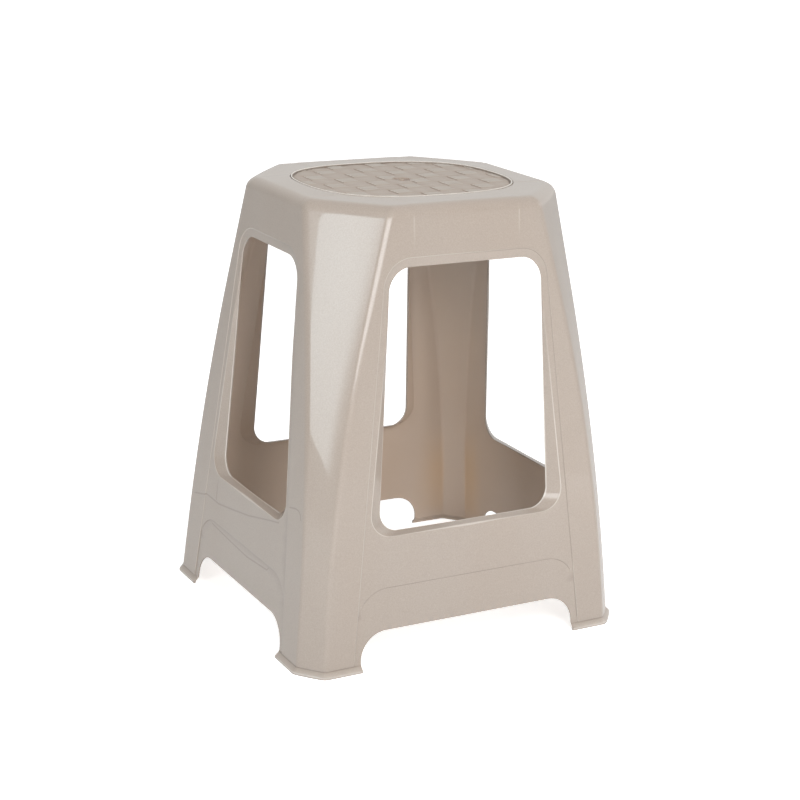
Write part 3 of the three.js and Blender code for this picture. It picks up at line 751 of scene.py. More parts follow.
class Shell:
    """Makes the moulded shell: four sides, four corners, the rounded rim, the feet's lips and both skins."""

    def __init__(self, shape, relief, weave):
        self.shape, self.relief, self.weave = shape, relief, weave
        self.sides = [Side(shape, relief, i) for i in range(4)]
        self.mesh = MeshMaker()
        self.low = shape.lip_height + LIP_CLEARANCE
        self.high = shape.rim_top - shape.seat_edge_radius
        self.levels = np.linspace(self.low, self.high, round((self.high - self.low) / RUN_STEP))

    def crease_columns(self, side, count=3):
        """Where the columns of points over a crease stand, from one of its edges to the other."""
        return side.kind.crease + self.relief.crease_width * np.linspace(-0.5, 0.5, count)

    def shares(self, side):
        """Where the columns of the rim's round stand on a side, as shares of its flat half width."""
        half = side.flat_half(self.high)
        columns = self.crease_columns(side, 5)
        columns = columns[columns < half]
        plain = np.linspace(0, 1, 12)
        plain = plain[np.abs(plain[:, None] * half - columns).min(axis=1) > COLUMN_CLEARANCE]
        right = np.unique(np.concatenate([plain, columns / half]))
        return np.concatenate([-right[::-1], right[1:]])

    def foot_columns(self, side):
        """Where the columns of points stand at a foot: its edge, the fine step and the corner."""
        foot = side.kind.arch_half + self.shape.cut_round
        line = side.step_at(self.low)
        half = side.flat_half(self.low)
        step = self.relief.step_width
        beside = [line - step / 2, line, line + step / 2, line + step]
        return np.array([foot, *beside, (line + half) / 2, half])

    def side_outline(self, side, feet, arch):
        """The outline of a side's sheet: arch, feet, corners and the start of the rim's round."""
        levels = self.levels[1:-1]
        right = with_height(side.flat_half(levels), levels)
        top = with_height(self.shares(side)[::-1] * side.flat_half(self.high), self.high)
        bottom = with_height(feet[1:], self.low)
        return np.vstack([bottom[::-1] * MIRROR, arch, bottom, right, top, right[::-1] * MIRROR])

    def side_lines(self, side):
        """The lines that a side's triangles keep: the fine steps, the rim's creases and the flow marks."""
        step = self.relief.step_width
        lines = []
        for out in (-step / 2, 0, step / 2, step):
            leg = side.leg_step(out)
            lines += self.runs(leg, leg[:, 1] > self.low + STEP_CLEARANCE)
            band = side.arch_step(out)
            clear = side.step_at(band[:, 1]) - np.abs(band[:, 0]) > step * 2.5
            lines += self.runs(band, clear & (band[:, 1] > self.low))
        crease_end = self.shape.rim_top - side.kind.crease_drop
        if crease_end < self.high - COLUMN_CLEARANCE:
            heights = np.linspace(self.high - LINE_CLEARANCE, crease_end, 6)
            for s in self.crease_columns(side):
                lines += [with_height(np.full(len(heights), sign * s), heights) for sign in (-1, 1)]
        for mark in side.flow_marks():
            steps = np.linspace(0, len(mark) - 1, (len(mark) - 1) * 6 + 1)
            run = np.stack([np.interp(steps, np.arange(len(mark)), mark[:, i]) for i in (0, 1)], axis=1)
            across = np.gradient(run, axis=0)[:, ::-1] * MIRROR
            across *= self.relief.flow_width / 2 / np.linalg.norm(across, axis=1)[:, None]
            lines += [run - across, run, run + across]
        return lines

    def make_side(self, side):
        """A side in both skins, with the reveal of its window and the edge of its arch."""
        feet = self.foot_columns(side)
        arch = side.arch(self.shape.cut_round)
        arch = arch[arch[:, 1] > self.low + LINE_CLEARANCE]
        arch = np.vstack([[-feet[0], self.low], arch, [feet[0], self.low]])
        outline = self.side_outline(side, feet, arch)
        reveal = self.make_reveal(side)
        lines = self.side_lines(side)
        fill = even_fill(outline, lines, FILL_STEP)
        flat, faces = sheet(outline, [reveal], lines, fill, FILL_CLEARANCE)
        s, z = flat[:, 0], flat[:, 1]
        self.mesh.add(side.place(s, z, -side.height(s, z)), faces, side.line_marks(s, z))
        inner = side.place(s, z, self.shape.wall + side.dish(s, z))
        self.mesh.add(inner, faces, side.soak(s, z), INNER)
        self.make_arch_edge(side, arch)

    @staticmethod
    def runs(line, keep):
        """The stretches of a closed line whose points are kept."""
        start = int(np.argmin(keep))
        line, keep = np.roll(line, -start, axis=0), np.roll(keep, -start)
        found, run = [], []
        for point, kept in zip(line, keep):
            if kept:
                run.append(point)
            elif run:
                found.append(run)
                run = []
        found.append(run)
        return [np.array(run) for run in found if len(run) > 1]

    def make_reveal(self, side):
        """The dished flange round a window, in both skins. Returns its outline on the side's face."""
        shape = self.shape
        edge = side.window(0, 0, 0)
        face = side.window(shape.reveal_width_sill, shape.reveal_width_head, shape.sill_rise)
        rise = (edge[:, 1] - shape.sill_height) / (shape.head_height - shape.sill_height)
        depth = shape.reveal_depth_sill + (shape.reveal_depth_head - shape.reveal_depth_sill) * rise
        out = face - edge
        width = np.linalg.norm(out, axis=1)
        out /= width[:, None]
        depth = np.maximum(depth + side.height(edge[:, 0], edge[:, 1]), LEAST_REVEAL)
        slope, tilt = np.hypot(width, depth), np.arctan2(depth, width)
        start = width + (shape.wall + REVEAL_CLEARANCE) * np.tan(tilt / 2)
        most = np.minimum(slope * REVEAL_ROUND_SHARE, start - width)
        tangent = np.minimum(shape.reveal_round * np.tan(tilt / 2), most)
        radius = tangent / np.tan(tilt / 2)

        def at(away, inset):
            return edge + out * away[:, None], inset

        outer = [at(start, 0 * depth), at(width + tangent, 0 * depth)]
        for share_of_turn in (0.25, 0.5, 0.75, 1.0):
            angle = tilt * share_of_turn
            outer.append(at(width + tangent - radius * np.sin(angle), radius * (1 - np.cos(angle))))
        stop = shape.cut_round / slope
        for share_of_run in (0.5, 0.9, 1.0):
            away = (width - tangent * np.cos(tilt)) * (1 - share_of_run) + width * stop * share_of_run
            inset = (tangent * np.sin(tilt)) * (1 - share_of_run) + depth * (1 - stop) * share_of_run
            outer.append(at(away, inset))
        fold = width + shape.wall * np.tan(tilt / 2)
        inner_edge = width * stop + shape.wall * depth / slope
        inner_depth = depth * (1 - stop) + shape.wall * width / slope
        wall = shape.wall + 0 * depth
        inner = [at(start, wall), at(fold, wall)]
        inner.append(at((fold + inner_edge) / 2, (wall + inner_depth) / 2))
        inner.append(at(inner_edge, inner_depth))

        def lift(flat, inset, outer_skin):
            s, z = flat[:, 0], flat[:, 1]
            bump = side.height(s, z) if outer_skin else -side.dish(s, z)
            return side.place(s, z, inset - bump)

        outer_rows = np.stack([lift(flat, inset, True) for flat, inset in outer])
        inner_rows = np.stack([lift(flat, inset, False) for flat, inset in inner])
        relief = self.relief
        # Painted highlights on the round into the reveal, low down, and on the cut edge, most at the sill
        low = 1 - smooth(shape.sill_height + relief.head_fade, shape.reveal_end, edge[:, 1])
        bright = -relief.cut_light * (relief.cut_light_share + (1 - relief.cut_light_share) * low)
        rounded, cut = np.zeros((len(outer), 1)), np.zeros((len(outer), 1))
        rounded[2:5] = -relief.round_light
        cut[-1] = 1.0
        self.mesh.grid(outer_rows, True, (rounded * low + cut * bright).reshape(-1))
        self.mesh.grid(inner_rows, True, finish=INNER)
        away = outer_rows[-1] - outer_rows[-2]
        away /= np.linalg.norm(away, axis=1)[:, None]
        edge_rows = cut_edge(outer_rows[-1], inner_rows[-1], away, shape.cut_round)
        fading = np.linspace(1, -1, len(edge_rows)).clip(0)[:, None]
        self.mesh.grid(edge_rows, True, (fading * bright).reshape(-1))
        return outer[0][0]

    def lip_profile(self):
        """The foot's lip from the top down: pairs of inset and height on the outer and the inner skin."""
        shape = self.shape
        out, top, edge = shape.lip_out, shape.lip_height, shape.lip_edge
        spread = out / (top - edge)
        inner_top = top + shape.wall / (1 + spread)
        groove, soft = shape.lip_groove, shape.lip_soft
        outer = [(0, self.low)]
        outer += [(depth, top + up) for depth, up in ((0, mm(1.5)), (groove, mm(1.1)), (groove, mm(0.6)))]
        outer += [(-out * 0.06, top), (-out * 0.9, edge + soft), (-out, edge - soft * 0.2)]
        outer += [(-out, soft), (-out + soft * 0.8, 0)]
        inner = [(shape.wall, self.low), (shape.wall, (self.low + inner_top) / 2), (shape.wall, inner_top)]
        for down in (0.2, 0.4):
            inner.append((shape.wall - out * down, inner_top - (inner_top - edge) * down))
        inner += [(shape.wall - out * 0.9, edge + soft), (shape.wall - out, edge - soft * 0.2)]
        inner += [(shape.wall - out, soft), (shape.wall - out - soft * 0.6, 0)]
        return np.array(outer), np.array(inner)

    def lip_row(self, sides, inset, z, outer_skin):
        """A row of the lip, from one side's right foot edge round the corner to the next side's left one."""
        runs = []
        for side in sides:
            s = self.foot_columns(side)
            s = s[0] + (s - s[0]) * (side.flat_half(z) - s[0]) / (s[-1] - s[0])
            fade = max(0.0, 1 - abs(inset) / GROOVE_REACH) if outer_skin else 0.0
            bump = side.height(s, np.full(len(s), self.low)) * fade
            runs.append(side.place(s if side is sides[0] else -s, z, inset - bump))
        corner = sides[0].corner_grid([z], [inset])[0]
        return np.vstack([runs[0][:-1], corner, runs[1][-2::-1]])

    def make_lip(self, side):
        """The foot's lip at a side's right end in both skins, with its sole and its two cut edges."""
        sides = (side, self.sides[(side.index + 1) % 4])
        outer, inner = self.lip_profile()
        outer_rows = np.stack([self.lip_row(sides, inset, z, True) for inset, z in outer])
        inner_rows = np.stack([self.lip_row(sides, inset, z, False) for inset, z in inner])
        self.mesh.grid(outer_rows, marks=np.repeat(LIP_MARKS, outer_rows.shape[1]))
        self.mesh.grid(inner_rows, finish=INNER)
        self.mesh.grid(np.stack([outer_rows[-1], inner_rows[-1]]))
        for end, here, sign in ((0, sides[0], -1), (-1, sides[1], 1)):
            away = here.turned(float(sign), 0.0, 0.0)
            edge = cut_edge(outer_rows[:, end], inner_rows[:, end], away, self.shape.cut_round)
            self.mesh.grid(edge)
            last = edge[:, -1]
            self.mesh.add(last, [list(range(len(last)))])

    def make_arch_edge(self, side, arch):
        """The cut edge of a side's arch, from its outer skin to its inner one."""
        shape = self.shape
        s, z = arch[:, 0], arch[:, 1]
        outer = side.place(s, z, -side.height(s, z))
        inner = side.place(s, z, shape.wall)
        along = np.gradient(arch, axis=0)
        along[0], along[-1] = (0, 1), (0, -1)
        along /= np.linalg.norm(along, axis=1)[:, None]
        away = side.turned(along[:, 1], 0.0, -along[:, 0])
        self.mesh.grid(cut_edge(outer, inner, away, shape.cut_round))

    def make_corner(self, side):
        """The chamfered corner from a side to the next one, in both skins."""
        self.mesh.grid(side.corner_grid(self.levels, 0 * self.levels))
        inner = side.corner_grid(self.levels, 0 * self.levels + self.shape.wall)
        # The inner skin gets the painted glow for soaked-through light towards the chamfer's edges, low down
        beside = smooth(0.25, 0.9, np.abs(np.linspace(-1, 1, inner.shape[1])))
        marks = side.soak_height(inner[:, :, 2]) * beside
        self.mesh.grid(inner, marks=marks.reshape(-1), finish=INNER)

    def perimeter(self, z, inset, proud=0.0, up=0.0):
        """One closed row round the whole stool. The creases stand out sideways and up by the given shares."""
        run = []
        for side in self.sides:
            s = self.shares(side) * side.flat_half(z)
            height = side.height(s, np.full(len(s), z)) if proud or up else np.zeros(len(s))
            run.append(side.place(s, z + height * up, inset - height * proud))
            corner = side.corner_grid([z], [inset])[0][1:-1]
            corner[:, 2] += self.rim_height(corner[:, :2]) * up
            run.append(corner)
        return np.vstack(run)

    def make_rim(self):
        """The round into the rim and the rim's flat in both skins, and the wall beside the inlay."""
        shape, weave = self.shape, self.weave
        for inset in (0.0, shape.wall):
            radius = shape.seat_edge_radius - inset
            top = shape.rim_top - inset
            finish = INNER if inset else OUTER
            rows = []
            for angle in np.linspace(0, math.pi / 2, 11):
                z = top - radius * (1 - math.sin(angle))
                back = inset + radius * (1 - math.cos(angle))
                proud, up = (0.0, 0.0) if inset else (math.cos(angle), math.sin(angle))
                rows.append(self.perimeter(z, back, proud, up))
            self.mesh.grid(np.stack(rows), closed=True, finish=finish)
            outline = rows[-1][:, :2]
            hole = weave.outline(0 if inset else -weave.groove_round)
            lines = [] if inset else self.rim_lines(outline, hole)
            fill = even_fill(outline, lines, RIM_FILL_STEP)
            flat, faces = sheet(outline, [hole], lines, fill, RIM_FILL_STEP / 2)
            z = top + (0 if inset else self.rim_height(flat))
            self.mesh.add(with_height(flat, z), faces, finish=finish)
        wall = []
        for angle in np.linspace(0, math.pi / 2, 4):
            ring = weave.outline(-weave.groove_round * (1 - math.sin(angle)))
            down = weave.groove_round * (1 - math.cos(angle))
            wall.append(with_height(ring, shape.rim_top + self.rim_height(ring) - down))
        wall.append(with_height(ring, shape.rim_top - shape.wall))
        self.mesh.grid(np.stack(wall), closed=True)

    def rim_height(self, points):
        """How far the rim's flat is lifted, between its creases and towards the inlay."""
        total = np.zeros(len(points))
        width = self.relief.crease_width / 2
        for side in self.sides:
            axis = side.index % 2
            sign = -1 if side.index in (0, 3) else 1
            middle = 1 - smooth(-width, width, np.abs(points[:, axis]) - side.kind.crease)
            seat_half = (self.weave.half_y, self.weave.half_x)[axis]
            there = sign * points[:, 1 - axis] > seat_half * BESIDE_SEAT_SHARE
            total = np.where(there, np.maximum(total, self.relief.crease_step * middle), total)
        gap = (self.weave.ratio(points) - 1) * self.weave.half_y
        return total + self.relief.rim_crown * (1 - smooth(0, self.relief.crown_width, gap))

    def rim_lines(self, outline, hole):
        """The creases' lines over the rim's flat, from the inlay out to the rim's round."""
        weave = self.weave
        lines = []
        for side in self.sides:
            half = (weave.half_x, weave.half_y)[side.index % 2]
            reach = (weave.half_y, weave.half_x)[side.index % 2]
            round_by = self.shape.seat_edge_radius + LINE_CLEARANCE
            outside = side.offset(side.kind, self.shape.rim_top) - round_by
            for sign in (-1, 1):
                for s in self.crease_columns(side):
                    inner = reach * (1 - (s / half) ** weave.power) ** (1 / weave.power)
                    out = np.linspace(inner + LINE_CLEARANCE, outside, 12)
                    line = side.turned(np.full(len(out), sign * s), -out, 0.0)[:, :2]
                    clear = inside(outline, line) & ~inside(hole, line)
                    clear &= distance(outline, line, closed=True) > RIM_LINE_CLEARANCE
                    lines.append(line[clear])
        return lines

    def build(self):
        for side in self.sides:
            self.make_side(side)
            self.make_corner(side)
            self.make_lip(side)
        self.make_rim()
        return self.mesh.object("moulded_shell", SKIN_MERGE)


# The woven seat and the ribs under it


GATE_RINGS = mm(np.array([10.2, 9.5, 9.15, 8.8, 7.4, 5.8, 4.4, 3.5, 3.0, 2.5, 1.7, 0.9]))
ROW_OFFSETS = mm(np.array([0.0, 0.3, 0.6, 1.2, 1.8, 2.7, 3.7, 6.0, 9.0]))
STRAND_SHARES = (0.15, 0.32, 0.5, 0.68, 0.85)
FOOT_CLEARANCE = mm(0.5)
RING_CLEARANCE = mm(0.4)

# Gaps between the weave and the bead, the bead and the rim, and the ribs and the seat
FOOT_GAP = mm(0.15)
BEAD_GAP = mm(0.03)
ROOT_GAP = mm(0.05)

# Insets from the bead's outer foot: where its groove ends, and where its round starts
BEAD_INSETS = (mm(0.35), mm(0.5))

# Where the weave rises beside the bead's foot, and where the light on a strand's edges comes in from its end
FOOT_SLOPE = (mm(0.3), mm(1.5))
LIT_FROM_END = (mm(1), mm(4))
LIT_WIDTH = mm(0.1)

# The rounds at a rib's lower edge, as a share of its width there
RIB_ROUND_SHARE = 0.35

# The slopes at the gaps beside the strands, at the gate's dish and at its nub, and the nub's ripple
GAP_FLAT = mm(0.05)
DISH_SLOPE = mm(0.7)
NUB_SLOPE = mm(0.9)
NUB_RIPPLE = mm(1.1)


class WovenSeat:
    """Makes the inlay: a plain weave with broad flat strands, a bead round it and the gate in its middle."""

    def __init__(self, shape, weave):
        self.shape, self.weave = shape, weave
        self.ground = shape.rim_top - weave.inlay_drop - weave.ground_drop
        self.mesh = MeshMaker()

    def strands(self, points):
        """Where each point lies in its cell, and whether the strand along Y is the upper one there."""
        weave = self.weave
        column = np.floor((points[:, 0] - weave.origin_x) / weave.cell_x)
        row = np.floor(points[:, 1] / weave.cell_y)
        u = points[:, 0] - weave.origin_x - column * weave.cell_x
        v = points[:, 1] - row * weave.cell_y
        return column, row, u, v, (column + row) % 2 == 1

    def height(self, points, foot):
        """How high the weave stands above the ground, with a fine groove along the bead's foot."""
        clear = smooth(*FOOT_SLOPE, distance(foot, points, closed=True))
        return self.woven_height(points) * clear - self.weave.foot_groove * (1 - clear)

    def edge_light(self, points):
        """Lit edges, below 0, where the strands along Y turn down into their gaps."""
        weave = self.weave
        _, _, u, v, upper = self.strands(points)
        edge = weave.edge / 2
        beside = np.minimum(np.abs(u - edge), np.abs(u - weave.strand + edge))
        along = smooth(*LIT_FROM_END, np.minimum(v, weave.cell_y - v))
        return np.where(upper, -weave.edge_light * along * (1 - smooth(0, LIT_WIDTH, beside)), 0.0)

    def woven_height(self, points):
        """The strands' height above the ground, with the gate mark in the middle instead of them."""
        weave = self.weave
        column, row, u, v, upper = self.strands(points)
        from_end = np.minimum(v, weave.cell_y - v)
        across = smooth(-weave.edge / 2, weave.edge / 2, np.minimum(u, weave.strand - u))
        rise = weave.end_share + (1 - weave.end_share) * smooth(0, weave.dive, from_end)
        crown = 1 - weave.crown * ((u - weave.strand / 2) / (weave.strand / 2)) ** 2
        along_y = np.where(upper, weave.over * crown * rise, 0) * across
        swing = np.cos((u - weave.strand / 2) / weave.cell_x * math.pi) * np.where(upper, -1, 1)
        held = weave.cross_share + (1 - weave.cross_share) * smooth(0, weave.edge, from_end)
        along_x = (weave.cross + weave.wave * swing) * held
        beside = np.abs(((u + weave.edge + weave.cell_x / 2) % weave.cell_x) - weave.cell_x / 2)
        upper_ahead = np.where(u > weave.cell_x / 2, column + 1 + row, column + row) % 2 == 1
        along_x -= weave.gap * (1 - smooth(GAP_FLAT, weave.edge * 1.4, beside)) * upper_ahead * rise
        radius = np.linalg.norm(points, axis=1)
        woven = smooth(weave.gate_radius - DISH_SLOPE, weave.gate_radius, radius)
        return np.maximum(along_y, along_x) * woven + self.gate_height(points, radius) * (1 - woven)

    def gate_height(self, points, radius):
        """The gate mark: a shallow dish with a rough nub in its middle."""
        weave = self.weave
        dish = -weave.gate_depth * (1 - (np.minimum(radius, weave.gate_radius) / weave.gate_radius) ** 2)
        angle = np.arctan2(points[:, 1], points[:, 0])
        ragged = np.sin(angle * 3 + 1.3) * np.cos(angle * 5 + radius / NUB_RIPPLE)
        nub = weave.nub_height * (1 - weave.nub_rough + weave.nub_rough * ragged)
        return dish + nub * (1 - smooth(weave.nub_radius - NUB_SLOPE, weave.nub_radius, radius))

    def lines(self, origin, cell, offsets, reach):
        """Where lines of points stand: the same offsets in every cell within reach of the middle."""
        first = math.floor((-reach - origin) / cell)
        last = math.ceil((reach - origin) / cell)
        return np.array([origin + k * cell + offset for k in range(first, last) for offset in offsets])

    def fill_points(self):
        """The points of the weave: a grid that follows the strands, and rings round the gate mark."""
        weave = self.weave
        edge, strand, cell = weave.edge / 2, weave.strand, weave.cell_x
        offsets = [-edge * 4, -edge * 2, -edge, 0, edge]
        offsets += [strand * part for part in STRAND_SHARES]
        offsets += [edge * 5, strand - edge * 5, strand - edge, strand, strand + edge]
        offsets += [(strand * 2 + cell) / 3, (strand + cell * 2) / 3]
        columns = self.lines(weave.origin_x, cell, offsets, weave.half_x)
        mirrored = weave.cell_y - ROW_OFFSETS[:0:-1]
        rows = self.lines(0, weave.cell_y, [*ROW_OFFSETS, weave.cell_y / 2, *mirrored], weave.half_y)
        fill = np.array([(x, y) for y in rows for x in columns])
        fill = fill[np.linalg.norm(fill, axis=1) > GATE_RINGS[0] + RING_CLEARANCE]
        fill = fill[weave.ratio(fill) < 1]
        angles = np.linspace(0, 2 * math.pi, 36, endpoint=False)
        circle = np.stack([np.cos(angles), np.sin(angles)], axis=1)
        return np.vstack([fill, *[radius * circle for radius in GATE_RINGS], [[0, 0]]])

    def build(self):
        foot = self.weave.outline(self.weave.bead_width + FOOT_GAP)
        flat, faces = sheet(foot, [], [], self.fill_points(), FOOT_CLEARANCE)
        points = with_height(flat, self.ground + self.height(flat, foot))
        self.mesh.add(points, faces, self.edge_light(flat))
        self.make_bead(foot)
        made = self.mesh.object("woven_seat", SKIN_MERGE)
        lift = made.data.attributes.new("lift", "FLOAT", "POINT")
        for vertex, item in zip(made.data.vertices, lift.data):
            item.value = (vertex.co.z - self.ground) / self.weave.over
        return made

    def make_bead(self, foot):
        """The bead's rows from the seat's underside up, over the bead and down to the weave."""
        weave, top = self.weave, self.shape.rim_top
        groove_end, start = BEAD_INSETS
        profile = [(BEAD_GAP, SEAT_LOW.z - top), (BEAD_GAP, -weave.groove), (groove_end, -weave.groove)]
        for angle in np.linspace(0, math.pi, 9):
            across = start + (weave.bead_width - start) * (1 - math.cos(angle)) / 2
            profile.append((across, weave.bead_rise * math.sin(angle) ** 0.7))
        rows = [with_height(weave.outline(inset), top + up) for inset, up in profile]
        rows.append(with_height(foot, self.ground + self.height(foot, foot)))
        # Painted shade down in the groove at the bead's inner foot
        shades = [0.0] * (len(rows) - 2) + [0.7, 1.0]
        self.mesh.grid(np.stack(rows), True, np.repeat(shades, len(foot)))
        self.mesh.add(rows[0], [list(range(len(foot)))])


class SeatRibs:
    """Makes the hoop and the ribs that stiffen the seat from below."""

    def __init__(self, weave, ribs):
        self.weave, self.ribs = weave, ribs
        self.top, self.low = SEAT_LOW.z + ROOT_GAP, HOOP_LOW.z
        self.mesh = MeshMaker()

    def section(self):
        """A rib's cross-section as pairs of sideways offset and height, from one root to the other."""
        ribs = self.ribs
        right = []
        for angle in np.linspace(0, math.pi / 2, 5):
            out = ribs.thickness / 2 + ribs.root * (1 - math.sin(angle))
            right.append((out, self.top - ribs.root * (1 - math.cos(angle))))
        soft = ribs.tip * RIB_ROUND_SHARE
        right.append((ribs.tip / 2, self.low + soft))
        right.append((ribs.tip / 2 - soft * 0.3, self.low + soft * 0.3))
        right.append((ribs.tip / 2 - soft, self.low))
        return np.array([(-out, z) for out, z in right] + right[::-1])

    def build(self):
        weave, ribs = self.weave, self.ribs
        section = self.section()
        middle = ribs.hoop_inset + ribs.thickness / 2
        hoop = [with_height(weave.outline(middle - out, 144), z) for out, z in section]
        self.mesh.grid(np.stack(hoop + hoop[:1]), closed=True)
        for i in range(RIB_COUNT):
            y = (i - (RIB_COUNT - 1) / 2) * ribs.pitch
            left = 1 - (abs(y) / (weave.half_y - middle)) ** weave.power
            reach = (weave.half_x - middle) * left ** (1 / weave.power)
            ends = []
            for x in (reach, -reach):
                ends.append(np.column_stack([np.full(len(section), x), y + section[:, 0], section[:, 1]]))
                self.mesh.add(ends[-1], [list(range(len(section)))])
            self.mesh.grid(np.stack(ends), closed=True)
        return self.mesh.object("under_seat_ribs", PLAIN_MERGE)


# Materials


def new_group(name, inputs, outputs):
    group = bpy.data.node_groups.new(name, "ShaderNodeTree")
    for label, kind, value in inputs:
        socket = group.interface.new_socket(label, in_out="INPUT", socket_type=kind)
        socket.default_value = value
    for label, kind in outputs:
        group.interface.new_socket(label, in_out="OUTPUT", socket_type=kind)
    return group


class Nodes:
    """Adds nodes to a tree and links them by the names of their sockets."""

    def __init__(self, tree):
        self.tree = tree

    def feed(self, node, values):
        """Sets a node's inputs, and links those whose value is the output of another node."""
        for key, value in values.items():
            if isinstance(value, bpy.types.NodeSocket):
                self.tree.links.new(value, node.inputs[key])
            else:
                node.inputs[key].default_value = value

    def add(self, kind, values=None, **settings):
        node = self.tree.nodes.new(kind)
        for key, value in settings.items():
            setattr(node, key, value)
        self.feed(node, values or {})
        return node

    def math(self, operation, *values):
        """The result of a sum on the given values, or on the outputs of other nodes."""
        return self.add("ShaderNodeMath", dict(enumerate(values)), operation=operation).outputs[0]

    def place(self):
        """Where a point is on its piece."""
        return self.add("ShaderNodeTexCoord").outputs["Object"]

    def attribute(self, name):
        return self.add("ShaderNodeAttribute", attribute_name=name).outputs["Fac"]

    def stretched(self, place, factors):
        """A place multiplied along each axis."""
        return self.add("ShaderNodeVectorMath", {0: place, 1: factors}, operation="MULTIPLY").outputs[0]

    def mix(self, factor, low, high):
        """A colour that goes from low to high as the factor goes from 0 to 1."""
        return self.add("ShaderNodeMix", {0: factor, 6: low, 7: high}, data_type="RGBA").outputs[2]

    def spread(self, value, low, high, to_low, to_high, kind="LINEAR"):
        """A value spread from one range over another, and held at the ends."""
        ends = {"Value": value, "From Min": low, "From Max": high, "To Min": to_low, "To Max": to_high}
        return self.add("ShaderNodeMapRange", ends, interpolation_type=kind).outputs[0]


def make_mottle_group():
    """Cloudy streaks of the kind that pearl pigment leaves in a moulding: a mask and a finer grain."""
    group = new_group(
        "pigment_mottle",
        [("Scale", "NodeSocketFloat", 12.0), ("Stretch", "NodeSocketFloat", 0.35)],
        [("Clouds", "NodeSocketFloat"), ("Grain", "NodeSocketFloat")],
    )
    make = Nodes(group)
    given = make.add("NodeGroupInput").outputs
    place = make.place()
    stretch = make.add("ShaderNodeCombineXYZ", {0: 1.0, 1: 1.0, 2: given["Stretch"]}).outputs[0]
    cloudy = {"Vector": make.stretched(place, stretch), "Scale": given["Scale"]}
    clouds = make.add("ShaderNodeTexNoise", {**cloudy, "Detail": 3.0, "Roughness": 0.55}).outputs[0]
    grain = make.add("ShaderNodeTexNoise", {"Vector": place, "Scale": 800.0, "Detail": 2.0}).outputs[0]
    make.add("NodeGroupOutput", {"Clouds": clouds, "Grain": grain})
    return group


def principled(material):
    """The shader that a new material starts with."""
    material.use_nodes = True
    return material.node_tree.nodes["Principled BSDF"]


class Plastic(Nodes):
    """A new material with what all of the stool's plastic has: its mottle and its clear skin."""

    def __init__(self, name, coat, scale):
        self.material = bpy.data.materials.new(name)
        self.shader = principled(self.material)
        super().__init__(self.material.node_tree)
        group = bpy.data.node_groups.get("pigment_mottle") or make_mottle_group()
        mottle = self.add("ShaderNodeGroup", {"Scale": scale}, node_tree=group).outputs
        self.clouds, self.grain = mottle["Clouds"], mottle["Grain"]
        self.feed(self.shader, {"IOR": 1.5, "Coat Weight": coat, "Coat IOR": 1.5})

    def cloudiness(self, most):
        """The clouds as a factor from 0 to the given most."""
        return self.spread(self.clouds, 0.3, 0.7, 0.0, most)

    def finish(self, base, rough, bump, depth, coat_rough):
        """Ends the material with its colour, its roughness and the bumps of its grain."""
        skin = {"Height": self.grain, "Strength": bump, "Distance": depth}
        normal = self.add("ShaderNodeBump", skin).outputs[0]
        ends = {"Base Color": base, "Roughness": rough, "Normal": normal, "Coat Roughness": coat_rough}
        self.feed(self.shader, ends)
        return self.material


def make_shell_plastic():
    """Glossy beige: clouds of pigment, a fine speckle, darker flow marks, painted shade in the fine grooves
    and painted highlights on edges.
    """
    colours = bpy.context.scene.stool_colours
    make = Plastic("glossy_moulded_plastic", colours.gloss, 9.0)
    cloudy = make.mix(make.cloudiness(1.0), colours.plastic, colours.plastic_warm)
    speckled = make.mix(make.spread(make.grain, 0.3, 0.7, 0.0, 0.2), cloudy, colours.speckle)
    # The line mark paints shade into the grooves and colours the flow marks above 0, and paints highlights on
    # edges below 0
    line = make.attribute("line")
    shaded = make.mix(make.spread(line, 0.0, 1.0, 0.0, colours.shade_weight), speckled, colours.groove_shade_and_flow_mark)
    lit = make.mix(make.spread(line, 0.0, -1.0, 0.0, colours.edge_weight), shaded, colours.edge)
    rough = make.spread(make.clouds, 0.25, 0.75, colours.roughness - 0.03, colours.roughness + 0.03)
    return make.finish(lit, rough, 0.12, mm(0.03), 0.04)


def make_inner_plastic():
    """The matt skin that the core of the mould leaves inside, painted lighter and warmer than the outside for
    the light that comes through the thin wall, with a painted glow where light soaks through.
    """
    colours = bpy.context.scene.stool_colours
    make = Plastic("matt_inner_plastic", 0.5, 7.0)
    clouds = make.cloudiness(1.0)
    cloudy = make.mix(clouds, colours.inner, colours.inner_warm)
    # A painted glow where light soaks through, as the inner skin's marks give it
    soak_glow = make.mix(make.math("MULTIPLY", make.attribute("line"), clouds), cloudy, colours.soak)
    rough = make.spread(make.clouds, 0.25, 0.75, 0.5, 0.6)
    return make.finish(soak_glow, rough, 0.3, mm(0.05), 0.4)


